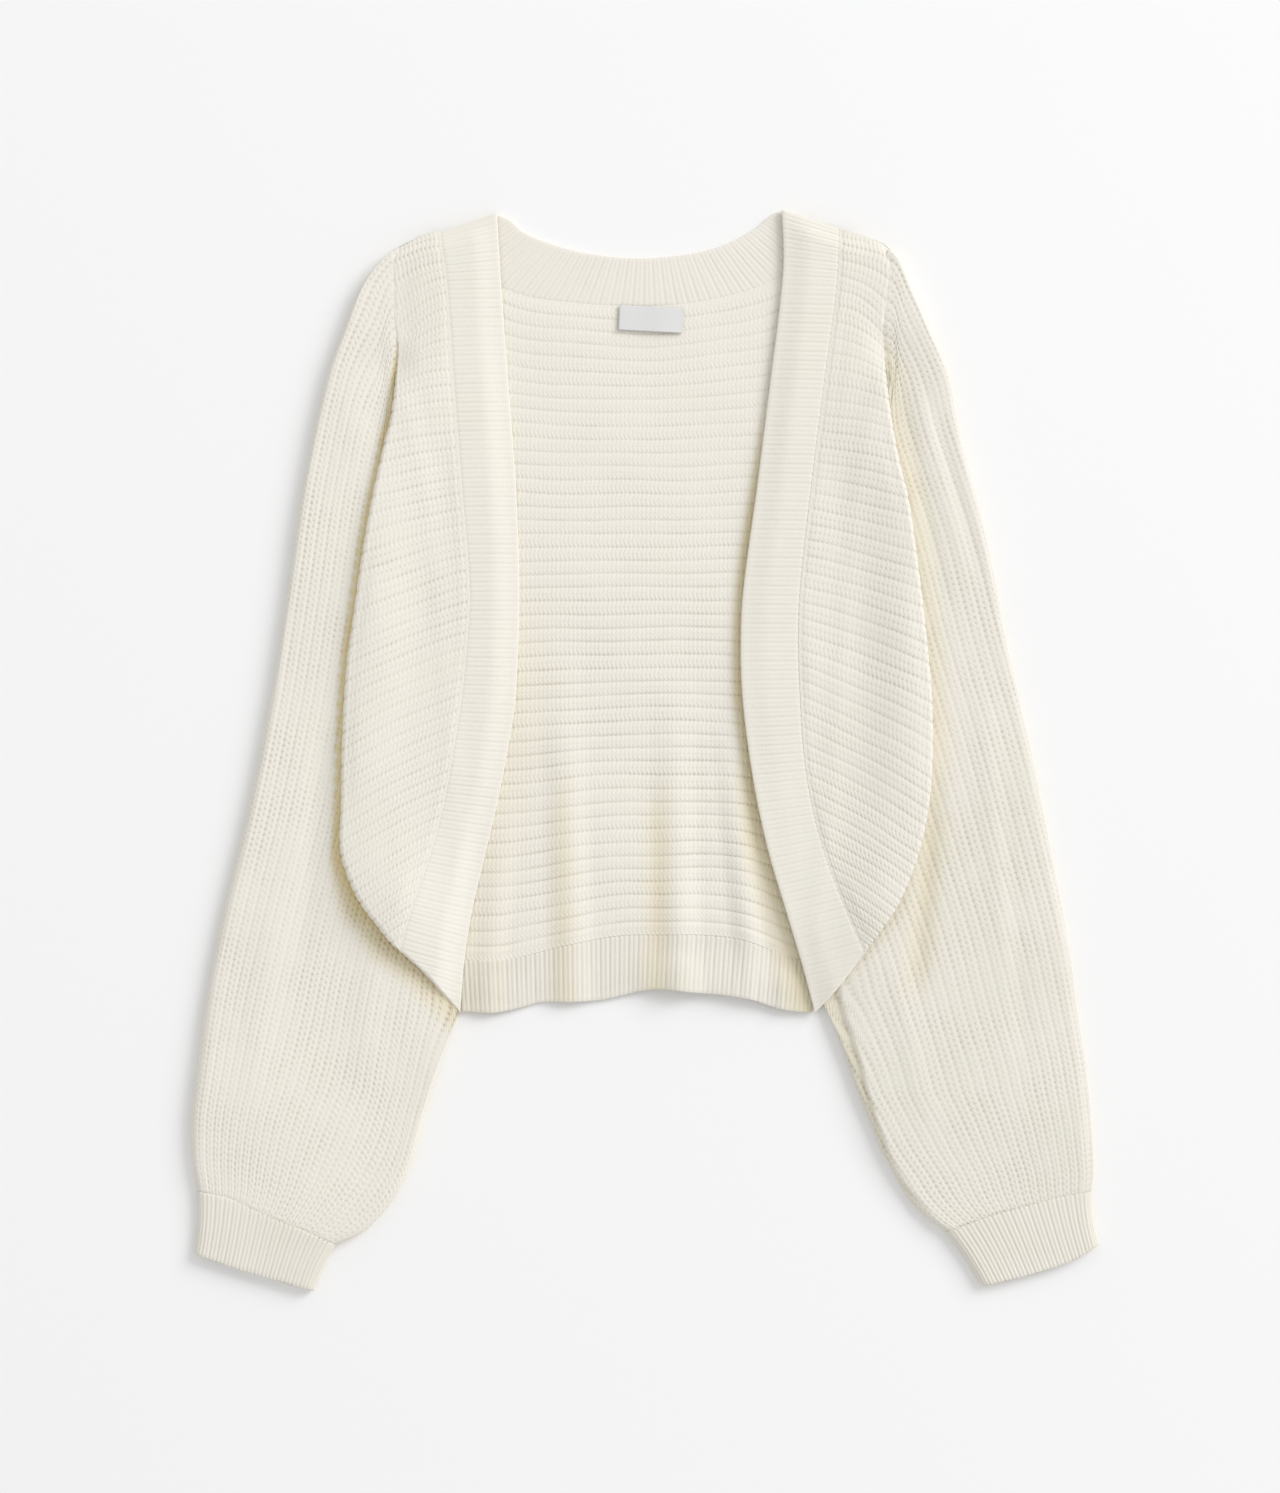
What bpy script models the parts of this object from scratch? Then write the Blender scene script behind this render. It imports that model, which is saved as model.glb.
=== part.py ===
# Cream bolero in chunky sideways rib, laid flat: back, two folded fronts, two batwing sleeves,
# neckband, front bands, hem band, cuffs and label.
# Lengths are in millimetres until each mesh is made. +X is the viewer's right, +Y the neck, +Z up.
# Left and right are the viewer's, looking down on the garment.
import math

import bmesh
import bpy
import numpy as np

MM = 0.001

# Knit
WALL = 2.0                # cloth under the rib valleys
RIB = 1.1                 # height of a chunky rib
BAND_WALL = 2.0
BAND_RIB = 0.6
SEAM = 0.4                # gap where two pieces are linked

# Rib spacing
BACK_PITCH = 7.5
FRONT_PITCH = 8.7
BAND_PITCH = 5.3
SLEEVE_PITCH = 6.4
SLEEVE_RIBS = 22
CUFF_RIBS = 15

# Layers, heights above the surface it lies on
SLEEVE_FULL = 9.0         # flat tube: two walls and the air between them
SLEEVE_PRESSED = 6.6      # the same tube where a front lies on it
CUFF_FULL = 7.4
FRONT_UNDER = 6.4         # under the front, where it lies over the back
FRONT_FLUSH = 5.9         # under the front, where it runs on into the sleeve
FRONT_SHOULDER = 3.8      # under the front, at the shoulder line
CLEAR = 0.8               # between a front and the sleeve under it

# The folded outer edge of each front
PLEAT = {
    "extra": 2.6,         # the second layer inside the fold
    "depth": 20.0,        # how far that layer runs in
    "taper": 12.0,        # its soft end
    "rise": 30.0,         # the height over which the fold starts
    "round": 3.2,         # rounding of the fold
    "cut_round": 0.9,     # rounding above the fold, where the front runs on into the sleeve
    "apart": 2.2,         # seam gaps kept from the sleeve there
    "free_after": 25.0,   # the fold leaves the sleeve's edge this far below the pleat's start
    "end": 0.985,         # the last rib, just short of the lower corner
}

# The front bands
BAND = {
    "corner": 0.88,       # part of the length that follows the seam, the rest the slanted lower edge
    "lower_end": 0.93,    # how much of the slanted edge the ribs reach
    "length": 0.995,
    "edge": 0.09,         # width of the rounding at the free edge
    "edge_drop": 1.1,
    "seam_drop": 0.2,
}

# The flattened tubes of the sleeves and cuffs
TUBE = {
    "side_round": 7.0,    # rounding of the side folds, on top
    "under_round": 4.0,   # and underneath
    "under_rise": 0.13,   # height of the underside's rounding, of the tube's height
    "rim": 1.25,          # thickness of the cloth in the side folds, in walls
}
UNDERARM_Y = -190.0       # below this the sleeve's inner side is straight
RAMP_TO_SEAM = 60.0       # length over which a rib turns out of the armhole
GATHER_FROM = 0.7         # where the ribs start to close up towards the cuff
CUFF_WAIST = 1.2
CUFF_THINNING = 0.6
BACK_UNDER = {"left": -105.2, "right": 95.6, "shoulder": 281.0, "corner": -146.0}

# Outlines. Each row is one section: x, y.
SHAPES = {
    "left": {
        "sign": -1,
        "pleat_start": 233.0,
        "shoulder": [(-83, 300.5), (-92.5, 297), (-106, 292.5), (-124, 288), (-133.5, 283.5), (-138.5, 281)],
        "free": [(-83, 300.5), (-80.5, 260), (-77, 210), (-72.5, 150), (-70.5, 90), (-72.5, 30), (-77, 0),
                 (-83, -30), (-90, -60), (-97, -90), (-101.5, -120), (-103.5, -146.5)],
        "seam": [(-114.5, 290), (-110.5, 260), (-107, 210), (-102.5, 150), (-98, 90), (-99.5, 60),
                 (-102.5, 30), (-105.5, 0), (-109.5, -30), (-117.5, -60), (-128.5, -90), (-136.5, -111.5)],
        "fold": [(-138.5, 281), (-137.5, 233), (-139.5, 210), (-143.5, 185.5), (-147.5, 172.5), (-155, 140.5),
                 (-160.5, 111), (-165.5, 76), (-169.5, 46.5), (-171.5, 10), (-171.5, -30), (-171, -56),
                 (-164, -75.5), (-157, -88), (-151.5, -95), (-142.5, -106.5), (-136.5, -111.5)],
        "lower": [(-136.5, -111.5), (-123, -124), (-114, -134.5), (-103.5, -146.5)],
        "armhole": [(-138.5, 281), (-137.5, 233), (-139.8, 215), (-140.8, 205), (-137, 190), (-131, 165),
                    (-126, 140), (-120, 85), (-115, 30), (-110, -30), (-107, -83), (-104.8, -146.3)],
        "contour": [(-138.5, 281), (-146.5, 274.5), (-158, 260), (-166.5, 240), (-177.5, 210), (-190.5, 150),
                    (-199.5, 90), (-209, 30), (-221, -30), (-235.5, -90), (-244.5, -135), (-250, -175),
                    (-253.5, -205), (-253, -230), (-250.5, -246), (-249.5, -262), (-251, -280)],
        "inner": [(-104.8, -146.3), (-112, -167), (-122.5, -201), (-127, -218), (-132.5, -235),
                  (-141.5, -251.5), (-156.5, -268), (-173, -276)],
        "cuff_seam": [(-250.5, -246), (-232, -250), (-218.5, -256.5), (-206, -262), (-190.5, -268),
                      (-173, -276)],
        "cuff_end": [(-252.5, -281), (-240.5, -285.5), (-226, -290), (-211, -294.5), (-185.5, -302)],
        # seam height where a rib leaves the band, height where it meets the folded edge, sag on the way
        "rib_fall": [(290, 281, 0), (233, 231, 1), (185, 175, 2), (140, 122, 3), (84, 50, 5),
                     (28, -20, 8), (-16, -60, 8), (-56, -91, 5), (-84, -104, 2), (-111.5, -111.5, 0)],
    },
    "right": {
        "sign": 1,
        "pleat_start": 243.0,
        "shoulder": [(76, 302.5), (94.5, 297), (106, 292.5), (120, 288), (132, 283.5), (136.5, 280)],
        "free": [(76, 302.5), (77, 275), (75, 250), (70, 210), (62.5, 150), (54.5, 90), (53, 60), (54, 30),
                 (57.5, 0), (62.5, -30), (69.5, -60), (78.5, -90), (87.5, -120), (94.5, -146.5)],
        "seam": [(108, 291.5), (106.5, 260), (100, 210), (92.5, 150), (86, 90), (85, 60), (86, 30), (88, 0),
                 (92.5, -30), (100.5, -60), (112, -90), (122, -113)],
        "fold": [(136.5, 280), (131.5, 250), (133.5, 222), (136, 195.5), (141.5, 162.5), (146.5, 142),
                 (151, 112), (156.5, 66.5), (160, 25), (159.5, -17), (156.5, -40), (151, -62),
                 (141.5, -85), (133, -98), (122, -113)],
        "lower": [(122, -113), (116, -121), (106, -134), (94.5, -146.5)],
        "armhole": [(136.5, 280), (131.5, 250), (133.5, 222), (135, 208), (131, 190), (126, 165), (122, 140),
                    (117, 85), (112, 30), (107, -30), (101, -83), (95.2, -146.3)],
        "contour": [(136.5, 280), (144, 273), (148.5, 263), (156, 240), (168.5, 210), (174.5, 180),
                    (190.5, 120), (202, 60), (215.5, 0), (227.5, -60), (236, -105), (241.5, -146),
                    (246, -175), (249, -205), (250.5, -235), (249.5, -246), (249.5, -262), (252, -276)],
        "inner": [(95.2, -146.3), (102.5, -151), (109, -162), (120.5, -195), (127.5, -212), (136.5, -235),
                  (147.5, -252), (168, -268.5)],
        "cuff_seam": [(249.5, -246), (234, -248.5), (218.5, -252.5), (199, -257.5), (186, -262),
                      (168, -268.5)],
        "cuff_end": [(253.5, -276), (239, -284.5), (222, -290.5), (204, -295.5), (188, -299)],
        "rib_fall": [(291.5, 280, 0), (233, 231, 1), (185, 178, 1), (140, 129, 2), (84, 65, 3),
                     (28, 2, 5), (-16, -45, 6), (-56, -79, 4), (-84, -98, 2), (-113, -113, 0)],
    },
}

NECK_FREE = [(-83, 300.5), (-75.5, 297), (-68, 290.5), (-51, 283.5), (-31, 278.5), (-3, 276), (25, 278.5),
             (44, 283.5), (61.5, 292.5), (71, 300.5), (76, 302.5)]
NECK_SEAM = [(-113.5, 289), (-98.5, 271), (-78.5, 258.5), (-64.5, 254), (-42.5, 251), (-14.5, 249),
             (8, 249), (30.5, 251.5), (53, 256.5), (69.5, 262), (92, 275), (107, 289)]
HEM_FREE = [(-103, -146), (-81.5, -145.5), (-64.5, -142), (-42.5, -138), (-14.5, -134), (2.5, -132.5),
            (30.5, -131.5), (50, -133.5), (67, -141), (81, -145), (93, -146)]
HEM_SEAM = [(-105, -117), (-81.5, -117.5), (-64.5, -114), (-42.5, -108.5), (-14.5, -103.5), (8, -103),
            (30.5, -103), (55.5, -106), (81, -116), (96, -118)]

HEM_DEPTH = 130.0
# Soft upright folds of the back and hem: x at the top, x at the hem, top end, width, height
BACK_FOLDS = [
    (-38, -34, 40, 15, 2.4),
    (-2, -8, 10, 13, 1.8),
    (30, 40, 60, 17, 2.8),
    (62, 66, 0, 10, 1.6),
    (-72, -84, -20, 12, 1.6),
]

# Rib number across a sleeve, and the height at which it leaves the armhole
RIB_START = [(0, 281), (5.5, 233), (7.2, 197), (10.3, 140), (14.8, 28), (19.9, -83), (22, -146.3)]

LABEL = {"center": (3.0, 241.5), "width": 36.0, "drop": 14.0, "turn": -3.0, "thick": 0.6}

# Mesh density
BACK_COLUMNS = 10
BACK_EDGE_COLUMNS = 40
FRONT_COLUMNS = 6
SLEEVE_SECTIONS = 16
CUFF_SECTIONS = 4
UNDER_COLUMNS = 8
INSIDE_COLUMNS = 9
UNDER_ROW_STEP = 4        # one plain row underneath for every two ribs


class Curve:
    """A smooth line through a few points."""

    def __init__(self, points, steps=14):
        pts = np.array(points, float)
        ends = np.vstack([2 * pts[0] - pts[1], pts, 2 * pts[-1] - pts[-2]])
        dense = [pts[0]]
        for i in range(len(pts) - 1):
            p0, p1, p2, p3 = ends[i:i + 4]
            span = np.linalg.norm(p2 - p1)
            m1 = (p2 - p0) * span / (np.linalg.norm(p2 - p1) + np.linalg.norm(p1 - p0))
            m2 = (p3 - p1) * span / (np.linalg.norm(p3 - p2) + np.linalg.norm(p2 - p1))
            for k in range(1, steps + 1):
                t = k / steps
                dense.append((2 * t ** 3 - 3 * t ** 2 + 1) * p1 + (t ** 3 - 2 * t ** 2 + t) * m1
                             + (3 * t ** 2 - 2 * t ** 3) * p2 + (t ** 3 - t ** 2) * m2)
        self.points = np.array(dense)
        runs = np.linalg.norm(np.diff(self.points, axis=0), axis=1)
        self.along = np.concatenate([[0.0], np.cumsum(runs)])
        self.length = self.along[-1]

    def at(self, t):
        """The point at fraction t of the length."""
        s = np.clip(t, 0.0, 1.0) * self.length
        return np.array([np.interp(s, self.along, self.points[:, 0]),
                         np.interp(s, self.along, self.points[:, 1])])

    def x_at(self, y):
        order = np.argsort(self.points[:, 1])
        return float(np.interp(y, self.points[order, 1], self.points[order, 0]))

    def y_at(self, x):
        order = np.argsort(self.points[:, 0])
        return float(np.interp(x, self.points[order, 0], self.points[order, 1]))

    def place_of_y(self, y):
        """The fraction of the length at which the line reaches height y."""
        order = np.argsort(self.points[:, 1])
        return float(np.interp(y, self.points[order, 1], self.along[order])) / self.length


def smooth(t):
    t = min(max(t, 0.0), 1.0)
    return t * t * (3 - 2 * t)


def ramp(value, start, end):
    """0 at start and before it, 1 at end and past it, smooth between."""
    return smooth((value - start) / (end - start))


def mix(a, b, t):
    return a + (b - a) * t


def soft_max(a, b, width=1.0):
    return 0.5 * (a + b + math.hypot(a - b, width))


LINES = {side: {name: Curve(rows) for name, rows in shape.items()
                if isinstance(rows, list) and name != "rib_fall"}
         for side, shape in SHAPES.items()}
NECK_LINE = Curve(NECK_SEAM)
HEM_LINE = Curve(HEM_SEAM)


def join_rows(faces, a, b):
    """Fills the strip between two rows of vertices, whatever their counts."""
    i = 0
    j = 0
    last_a = len(a) - 1
    last_b = len(b) - 1
    while i < last_a or j < last_b:
        if j == last_b or (i < last_a and (i + 1) * last_b <= (j + 1) * last_a):
            faces.append((a[i], a[i + 1], b[j]))
            i += 1
        else:
            faces.append((a[i], b[j + 1], b[j]))
            j += 1


def make_object(name, points, faces, material, collection):
    mesh = bpy.data.meshes.new(name)
    mesh.from_pydata([tuple(c * MM for c in p) for p in points], [], faces)
    work = bmesh.new()
    work.from_mesh(mesh)
    bmesh.ops.recalc_face_normals(work, faces=work.faces)
    if work.calc_volume(signed=True) < 0:
        bmesh.ops.reverse_faces(work, faces=work.faces)
    work.to_mesh(mesh)
    work.free()
    mesh.shade_smooth()
    mesh.set_sharp_from_angle(angle=math.radians(50))
    mesh.materials.append(material)
    obj = bpy.data.objects.new(name, mesh)
    collection.objects.link(obj)
    return obj


def make_sheet(name, top, under, material, collection):
    """A wall between a top and an underside, each given as rows of points."""
    points = []

    def number(rows):
        out = []
        for row in rows:
            out.append(list(range(len(points), len(points) + len(row))))
            points.extend(row)
        return out

    top = number(top)
    under = number(under)
    faces = []
    for rows in (top, under):
        for a, b in zip(rows, rows[1:]):
            join_rows(faces, a, b)
    join_rows(faces, top[0], under[0])
    join_rows(faces, top[-1], under[-1])
    join_rows(faces, [r[0] for r in top], [r[0] for r in under])
    join_rows(faces, [r[-1] for r in top], [r[-1] for r in under])
    return make_object(name, points, faces, material, collection)


def make_tube(name, outer, inner, material, collection):
    """An open flattened tube: closed rings outside and inside, joined at both ends."""
    points = []

    def number(rings):
        out = []
        for ring in rings:
            ids = list(range(len(points), len(points) + len(ring)))
            points.extend(ring)
            out.append(ids + ids[:1])
        return out

    outer = number(outer)
    inner = number(inner)
    faces = []
    for rings in (outer, inner):
        for a, b in zip(rings, rings[1:]):
            join_rows(faces, a, b)
    join_rows(faces, outer[0], inner[0])
    join_rows(faces, outer[-1], inner[-1])
    return make_object(name, points, faces, material, collection)


def fold_lift(x, y):
    """Height of the soft upright folds under the back and hem, in a band that fades at its top."""
    lift = 0.0
    for top_x, hem_x, top_y, width, height in BACK_FOLDS:
        t = (top_y - y) / (top_y + HEM_DEPTH)
        if t <= 0:
            continue
        away = abs(x - mix(top_x, hem_x, min(t, 1.0))) / width
        if away < 1:
            lift += height * smooth(t * 2) * (0.5 + 0.5 * math.cos(math.pi * away))
    return lift


def sleeve_height(side, x, y):
    """Height of the sleeve's crests: full where it shows, pressed thin where a front lies on it."""
    shape = SHAPES[side]
    flush = ramp(y, shape["pleat_start"] - 22, shape["pleat_start"])
    past = ramp(y, -135, -185)
    near = mix(SLEEVE_PRESSED, SLEEVE_FULL, max(flush, past))
    out = shape["sign"] * (x - LINES[side]["armhole"].x_at(y))
    return mix(mix(near, SLEEVE_FULL, ramp(out, 0, 32)), CUFF_FULL, ramp(y, -205, -265))


def front_under(side, x, y):
    """Height of a front's underside: on the back, then over the sleeve, down to the shoulder line."""
    shape = SHAPES[side]
    flush = ramp(y, shape["pleat_start"] - 35, shape["pleat_start"])
    low = mix(FRONT_UNDER, FRONT_FLUSH, flush)
    over = sleeve_height(side, x, y) + CLEAR
    reach = shape["sign"] * (x - LINES[side]["armhole"].x_at(y))
    over = mix(low, over, ramp(reach, -16, -2) * (1 - flush))
    height = soft_max(low, over, 0.6)
    to_shoulder = LINES[side]["shoulder"].y_at(x) - y
    return mix(FRONT_SHOULDER, height, ramp(to_shoulder, -1, 12))


def make_back(material, collection):
    left = LINES["left"]
    right = LINES["right"]
    top_mid = NECK_LINE.y_at(0.0)
    low_mid = HEM_LINE.y_at(0.0)
    ribs = round((top_mid - low_mid) / BACK_PITCH)
    rows = 2 * ribs + 1

    def edge_x(t, y):
        """The line under the armhole, straight from shoulder to hem corner."""
        down = (BACK_UNDER["shoulder"] - y) / (BACK_UNDER["shoulder"] - BACK_UNDER["corner"])
        a = mix(left["armhole"].points[0][0], BACK_UNDER["left"], down)
        b = mix(right["armhole"].points[0][0], BACK_UNDER["right"], down)
        return mix(a + SEAM, b - SEAM, t)

    def top_y(x):
        if x < NECK_SEAM[0][0]:
            return left["shoulder"].y_at(x) - SEAM
        if x > NECK_SEAM[-1][0]:
            return right["shoulder"].y_at(x) - SEAM
        return NECK_LINE.y_at(x) - SEAM

    def place(v, t):
        y = mix(top_mid, low_mid, v)
        x = edge_x(t, y)
        for _ in range(3):
            y = (mix(top_mid, low_mid, v) + (top_y(x) - top_mid) * (1 - v) ** 5
                 + (HEM_LINE.y_at(x) + SEAM - low_mid) * v ** 3)
            x = edge_x(t, y)
        return x, y

    def row_at(i, base):
        count = BACK_COLUMNS
        if i in (0, rows - 1):
            count = BACK_EDGE_COLUMNS
        elif i in (1, 2, rows - 3, rows - 2):
            count = BACK_EDGE_COLUMNS // 2
        row = []
        for k in range(count):
            x, y = place(i / (rows - 1), k / (count - 1))
            row.append((x, y, base + fold_lift(x, y)))
        return row

    top = [row_at(i, WALL + RIB * (i % 2)) for i in range(rows)]
    under = [row_at(i, 0.0) for i in list(range(0, rows - 1, UNDER_ROW_STEP)) + [rows - 1]]
    return make_sheet("back", top, under, material, collection)


def front_rib(side, v):
    """Start, turning point and end of the rib line at fraction v down a front."""
    line = LINES[side]
    table = np.array(SHAPES[side]["rib_fall"], float)[::-1]
    seam_y = line["seam"].at(v)[1]
    end_y = float(np.interp(seam_y, table[:, 0], table[:, 1]))
    sag = float(np.interp(seam_y, table[:, 0], table[:, 2]))
    start = line["seam"].at(v)
    place = line["fold"].place_of_y(end_y)
    end = line["fold"].at(place)
    turn = mix(start, end, 0.5) + np.array([0.0, sag * ramp(np.linalg.norm(end - start), 0, 45)])
    return start, turn, end


def make_front(side, material, collection):
    shape = SHAPES[side]
    sign = shape["sign"]
    line = LINES[side]
    ribs = round(line["seam"].length / FRONT_PITCH)
    rows = 2 * ribs + 1
    top = []
    under = []
    for i in range(rows):
        v = i / (rows - 1)
        start, turn, end = front_rib(side, v * PLEAT["end"])
        start = start + np.array([sign * SEAM, 0.0])
        below = shape["pleat_start"] - end[1]
        lift = ramp(below, 0, PLEAT["rise"])
        apart = 1 - ramp(below, PLEAT["free_after"], PLEAT["free_after"] + 15)
        end = end - np.array([sign * SEAM * PLEAT["apart"] * apart, 0.0])
        width = np.linalg.norm(end - start)
        crest = RIB * (i % 2)
        round_in = min(mix(PLEAT["cut_round"], PLEAT["round"], lift), width / 5)

        def spot(inset):
            t = min(max(1 - inset / width, 0.0), 1.0)
            p = (1 - t) ** 2 * start + 2 * t * (1 - t) * turn + t * t * end
            return p[0], p[1]

        def layer(inset):
            inside = ramp(PLEAT["depth"] - inset, 0, PLEAT["taper"])
            return PLEAT["extra"] * lift * inside * ramp(width, 0, PLEAT["depth"])

        row = []
        for k in range(FRONT_COLUMNS):
            inset = mix(width, round_in * 1.6, (k / (FRONT_COLUMNS - 1)) ** 0.8)
            x, y = spot(inset)
            row.append((x, y, front_under(side, x, y) + WALL + crest + layer(inset)))
        x, y = spot(round_in * 0.25)
        base = front_under(side, x, y)
        tall = WALL + layer(0.0)
        row.append((x, y, base + (tall + crest) * 0.75))
        top.append(row)
        if i % 2 == 0:
            row = []
            for t in (0.0, 0.3, 0.65):
                x, y = spot(mix(width, round_in, t))
                row.append((x, y, front_under(side, x, y)))
            x, y = spot(round_in)
            row.append((x, y, front_under(side, x, y)))
            x, y = spot(0.0)
            row.append((x, y, front_under(side, x, y) + tall * 0.4))
            under.append(row)
    return make_sheet("front_" + side, top, under, material, collection)


def make_front_band(side, material, collection):
    shape = SHAPES[side]
    sign = shape["sign"]
    line = LINES[side]
    ribs = round(line["free"].length / BAND_PITCH)
    rows = 2 * ribs + 1
    corner = BAND["corner"]
    top = []
    under = []
    for i in range(rows):
        v = i / (rows - 1)
        inner = line["free"].at(v * BAND["length"])
        if v < corner:
            outer = line["seam"].at(v / corner)
        else:
            outer = line["lower"].at(BAND["lower_end"] * (v - corner) / (1 - corner))
        outer = outer - np.array([sign * SEAM / 4, 0.0])
        crest = BAND_RIB * (i % 2)
        row = []
        for t, drop in ((0.0, BAND["edge_drop"]), (BAND["edge"], 0.0), (1.0, BAND["seam_drop"])):
            x, y = mix(inner, outer, t)
            row.append((x, y, front_under(side, x, y) + BAND_WALL + crest - drop))
        top.append(row)
        if i % UNDER_ROW_STEP == 0 or i == rows - 1:
            row = []
            for t in (0.0, 1.0):
                x, y = mix(inner, outer, t)
                row.append((x, y, front_under(side, x, y)))
            under.append(row)
    return make_sheet("front_band_" + side, top, under, material, collection)


def make_flat_band(name, free_rows, seam_rows, gap, folds, material, collection):
    """The neckband and the hem band: a ribbed strip that lies on the surface."""
    free = Curve(free_rows)
    seam = Curve(seam_rows)
    ribs = round(0.5 * (free.length + seam.length) / BAND_PITCH)
    rows = 2 * ribs + 1
    top = []
    under = []
    for i in range(rows):
        v = i / (rows - 1)
        outer = free.at(v)
        inner = seam.at(v) + np.array([0.0, gap])
        crest = BAND_RIB * (i % 2)
        row = []
        for t, drop in ((0.0, BAND["edge_drop"]), (BAND["edge"], 0.0), (1.0, 0.0)):
            x, y = mix(outer, inner, t)
            lift = fold_lift(x, y) if folds else 0.0
            row.append((x, y, BAND_WALL + crest - drop + lift))
        top.append(row)
        if i % UNDER_ROW_STEP == 0 or i == rows - 1:
            row = []
            for t in (0.0, 1.0):
                x, y = mix(outer, inner, t)
                row.append((x, y, fold_lift(x, y) if folds else 0.0))
            under.append(row)
    return make_sheet(name, top, under, material, collection)


def sleeve_point(side, f, d, low):
    """Place at fraction f down a rib and fraction d across the sleeve from its outer edge."""
    line = LINES[side]
    rib = d * SLEEVE_RIBS
    first = line["armhole"].points[0][1]
    last = line["armhole"].points[-1][1]
    start_y = min(float(np.interp(rib, *np.array(RIB_START).T)), first)
    end = line["cuff_seam"].at(d)
    y = mix(start_y, end[1], f)
    full = -SHAPES[side]["sign"] * SLEEVE_PITCH * SLEEVE_RIBS

    def plain_x(at_y):
        outer_x = line["contour"].x_at(at_y)
        low_y = min(at_y, UNDERARM_Y)
        width = mix(full, line["inner"].x_at(low_y) - line["contour"].x_at(low_y),
                    ramp(at_y, -20, UNDERARM_Y))
        x = outer_x + d * width
        near = ramp(at_y, -110, last)
        return x + near * d ** 9 * (line["inner"].x_at(at_y) - outer_x - width)

    if low:
        t = (first - start_y) / (first - last)
        start_x = mix(line["armhole"].points[0][0], line["armhole"].points[-1][0], t)
    else:
        start_x = line["armhole"].x_at(start_y)
    begin = (start_x - plain_x(start_y)) * (1 - ramp(start_y - y, 0, RAMP_TO_SEAM))
    finish = (end[0] - plain_x(end[1])) * ramp(f, GATHER_FROM, 1)
    return plain_x(y) + begin + finish, y


def flat_ring(place, across, height, rib_count, rib_height, wall):
    """Outer and inner rings of a flattened tube; place(d) gives x, y and height(x, y) the crest."""
    outer = []
    inner = []
    columns = 2 * rib_count
    for j in range(columns + 1):
        d = j / columns
        x, y = place(d, False)
        inset = min(d, 1 - d) * across
        bend = 1 - min(inset / TUBE["side_round"], 1)
        top = height(x, y)
        z = top * (0.5 + 0.5 * math.sqrt(max(1 - bend * bend, 0.0)))
        crest = 0.0 if j % 2 else rib_height
        if j in (0, columns):
            crest = 0.0
        outer.append((x, y, z - crest))
    flat = TUBE["under_round"] / across
    corner = flat / 4
    x, y = place(1 - corner, True)
    outer.append((x, y, TUBE["under_rise"] * height(x, y)))
    for t in np.linspace(1 - flat, flat, UNDER_COLUMNS):
        x, y = place(t, True)
        outer.append((x, y, 0.0))
    x, y = place(corner, True)
    outer.append((x, y, TUBE["under_rise"] * height(x, y)))
    rim = wall * TUBE["rim"] / across
    start = 2 * rim
    tops = mix(start, 1 - start, np.linspace(0, 1, INSIDE_COLUMNS) ** 1.4)
    x, y = place(rim, False)
    inner.append((x, y, 0.5 * (height(x, y) - rib_height)))
    for t in tops:
        x, y = place(t, False)
        inner.append((x, y, height(x, y) - rib_height - wall))
    x, y = place(1 - rim, False)
    inner.append((x, y, 0.5 * (height(x, y) - rib_height)))
    for t in np.linspace(1 - start, start, UNDER_COLUMNS):
        x, y = place(t, True)
        inner.append((x, y, wall))
    return outer, inner


def make_sleeve(side, material, collection):
    outer = []
    inner = []
    for i in range(SLEEVE_SECTIONS + 1):
        t = i / SLEEVE_SECTIONS
        f = mix(t ** 1.6, smooth(t), 0.35)  # closer sections at the shoulder and at the cuff

        def place(d, low):
            x, y = sleeve_point(side, f, d, low)
            return x, y

        a = np.array(place(0.0, False))
        b = np.array(place(1.0, False))

        def height(x, y):
            return sleeve_height(side, x, y)

        ring = flat_ring(place, np.linalg.norm(a - b), height, SLEEVE_RIBS, RIB, WALL)
        outer.append(ring[0])
        inner.append(ring[1])
    return make_tube("sleeve_" + side, outer, inner, material, collection)


def make_cuff(side, material, collection):
    line = LINES[side]
    outer = []
    inner = []
    for i in range(CUFF_SECTIONS + 1):
        f = i / CUFF_SECTIONS
        waist = CUFF_WAIST * math.sin(math.pi * f)

        def place(d, low):
            a = line["cuff_seam"].at(d)
            b = line["cuff_end"].at(d)
            run = (b - a) / np.linalg.norm(b - a)
            p = mix(a + run * SEAM * 1.6, b, f)
            return p[0] - SHAPES[side]["sign"] * waist * (1 - 2 * d), p[1]

        a = np.array(place(0.0, False))
        b = np.array(place(1.0, False))

        def height(x, y):
            return CUFF_FULL - CUFF_THINNING * f

        ring = flat_ring(place, np.linalg.norm(a - b), height, CUFF_RIBS, BAND_RIB, BAND_WALL)
        outer.append(ring[0])
        inner.append(ring[1])
    return make_tube("cuff_" + side, outer, inner, material, collection)


def make_label(material, collection):
    turn = math.radians(LABEL["turn"])
    top = []
    under = []
    for i in range(3):
        upper = []
        lower = []
        for j in range(6):
            a = (j / 5 - 0.5) * LABEL["width"]
            b = (0.5 - i / 2) * LABEL["drop"]
            x = LABEL["center"][0] + a * math.cos(turn) - b * math.sin(turn)
            y = LABEL["center"][1] + a * math.sin(turn) + b * math.cos(turn)
            z = WALL + RIB + SEAM + fold_lift(x, y)
            lower.append((x, y, z))
            upper.append((x, y, z + LABEL["thick"]))
        top.append(upper)
        under.append(lower)
    return make_sheet("label", top, under, material, collection)


def make_material(name, color, roughness):
    material = bpy.data.materials.new(name)
    material.use_nodes = True
    shader = material.node_tree.nodes["Principled BSDF"]
    shader.inputs["Base Color"].default_value = (*color, 1.0)
    shader.inputs["Roughness"].default_value = roughness
    shader.inputs["Metallic"].default_value = 0.0
    return material


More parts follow.
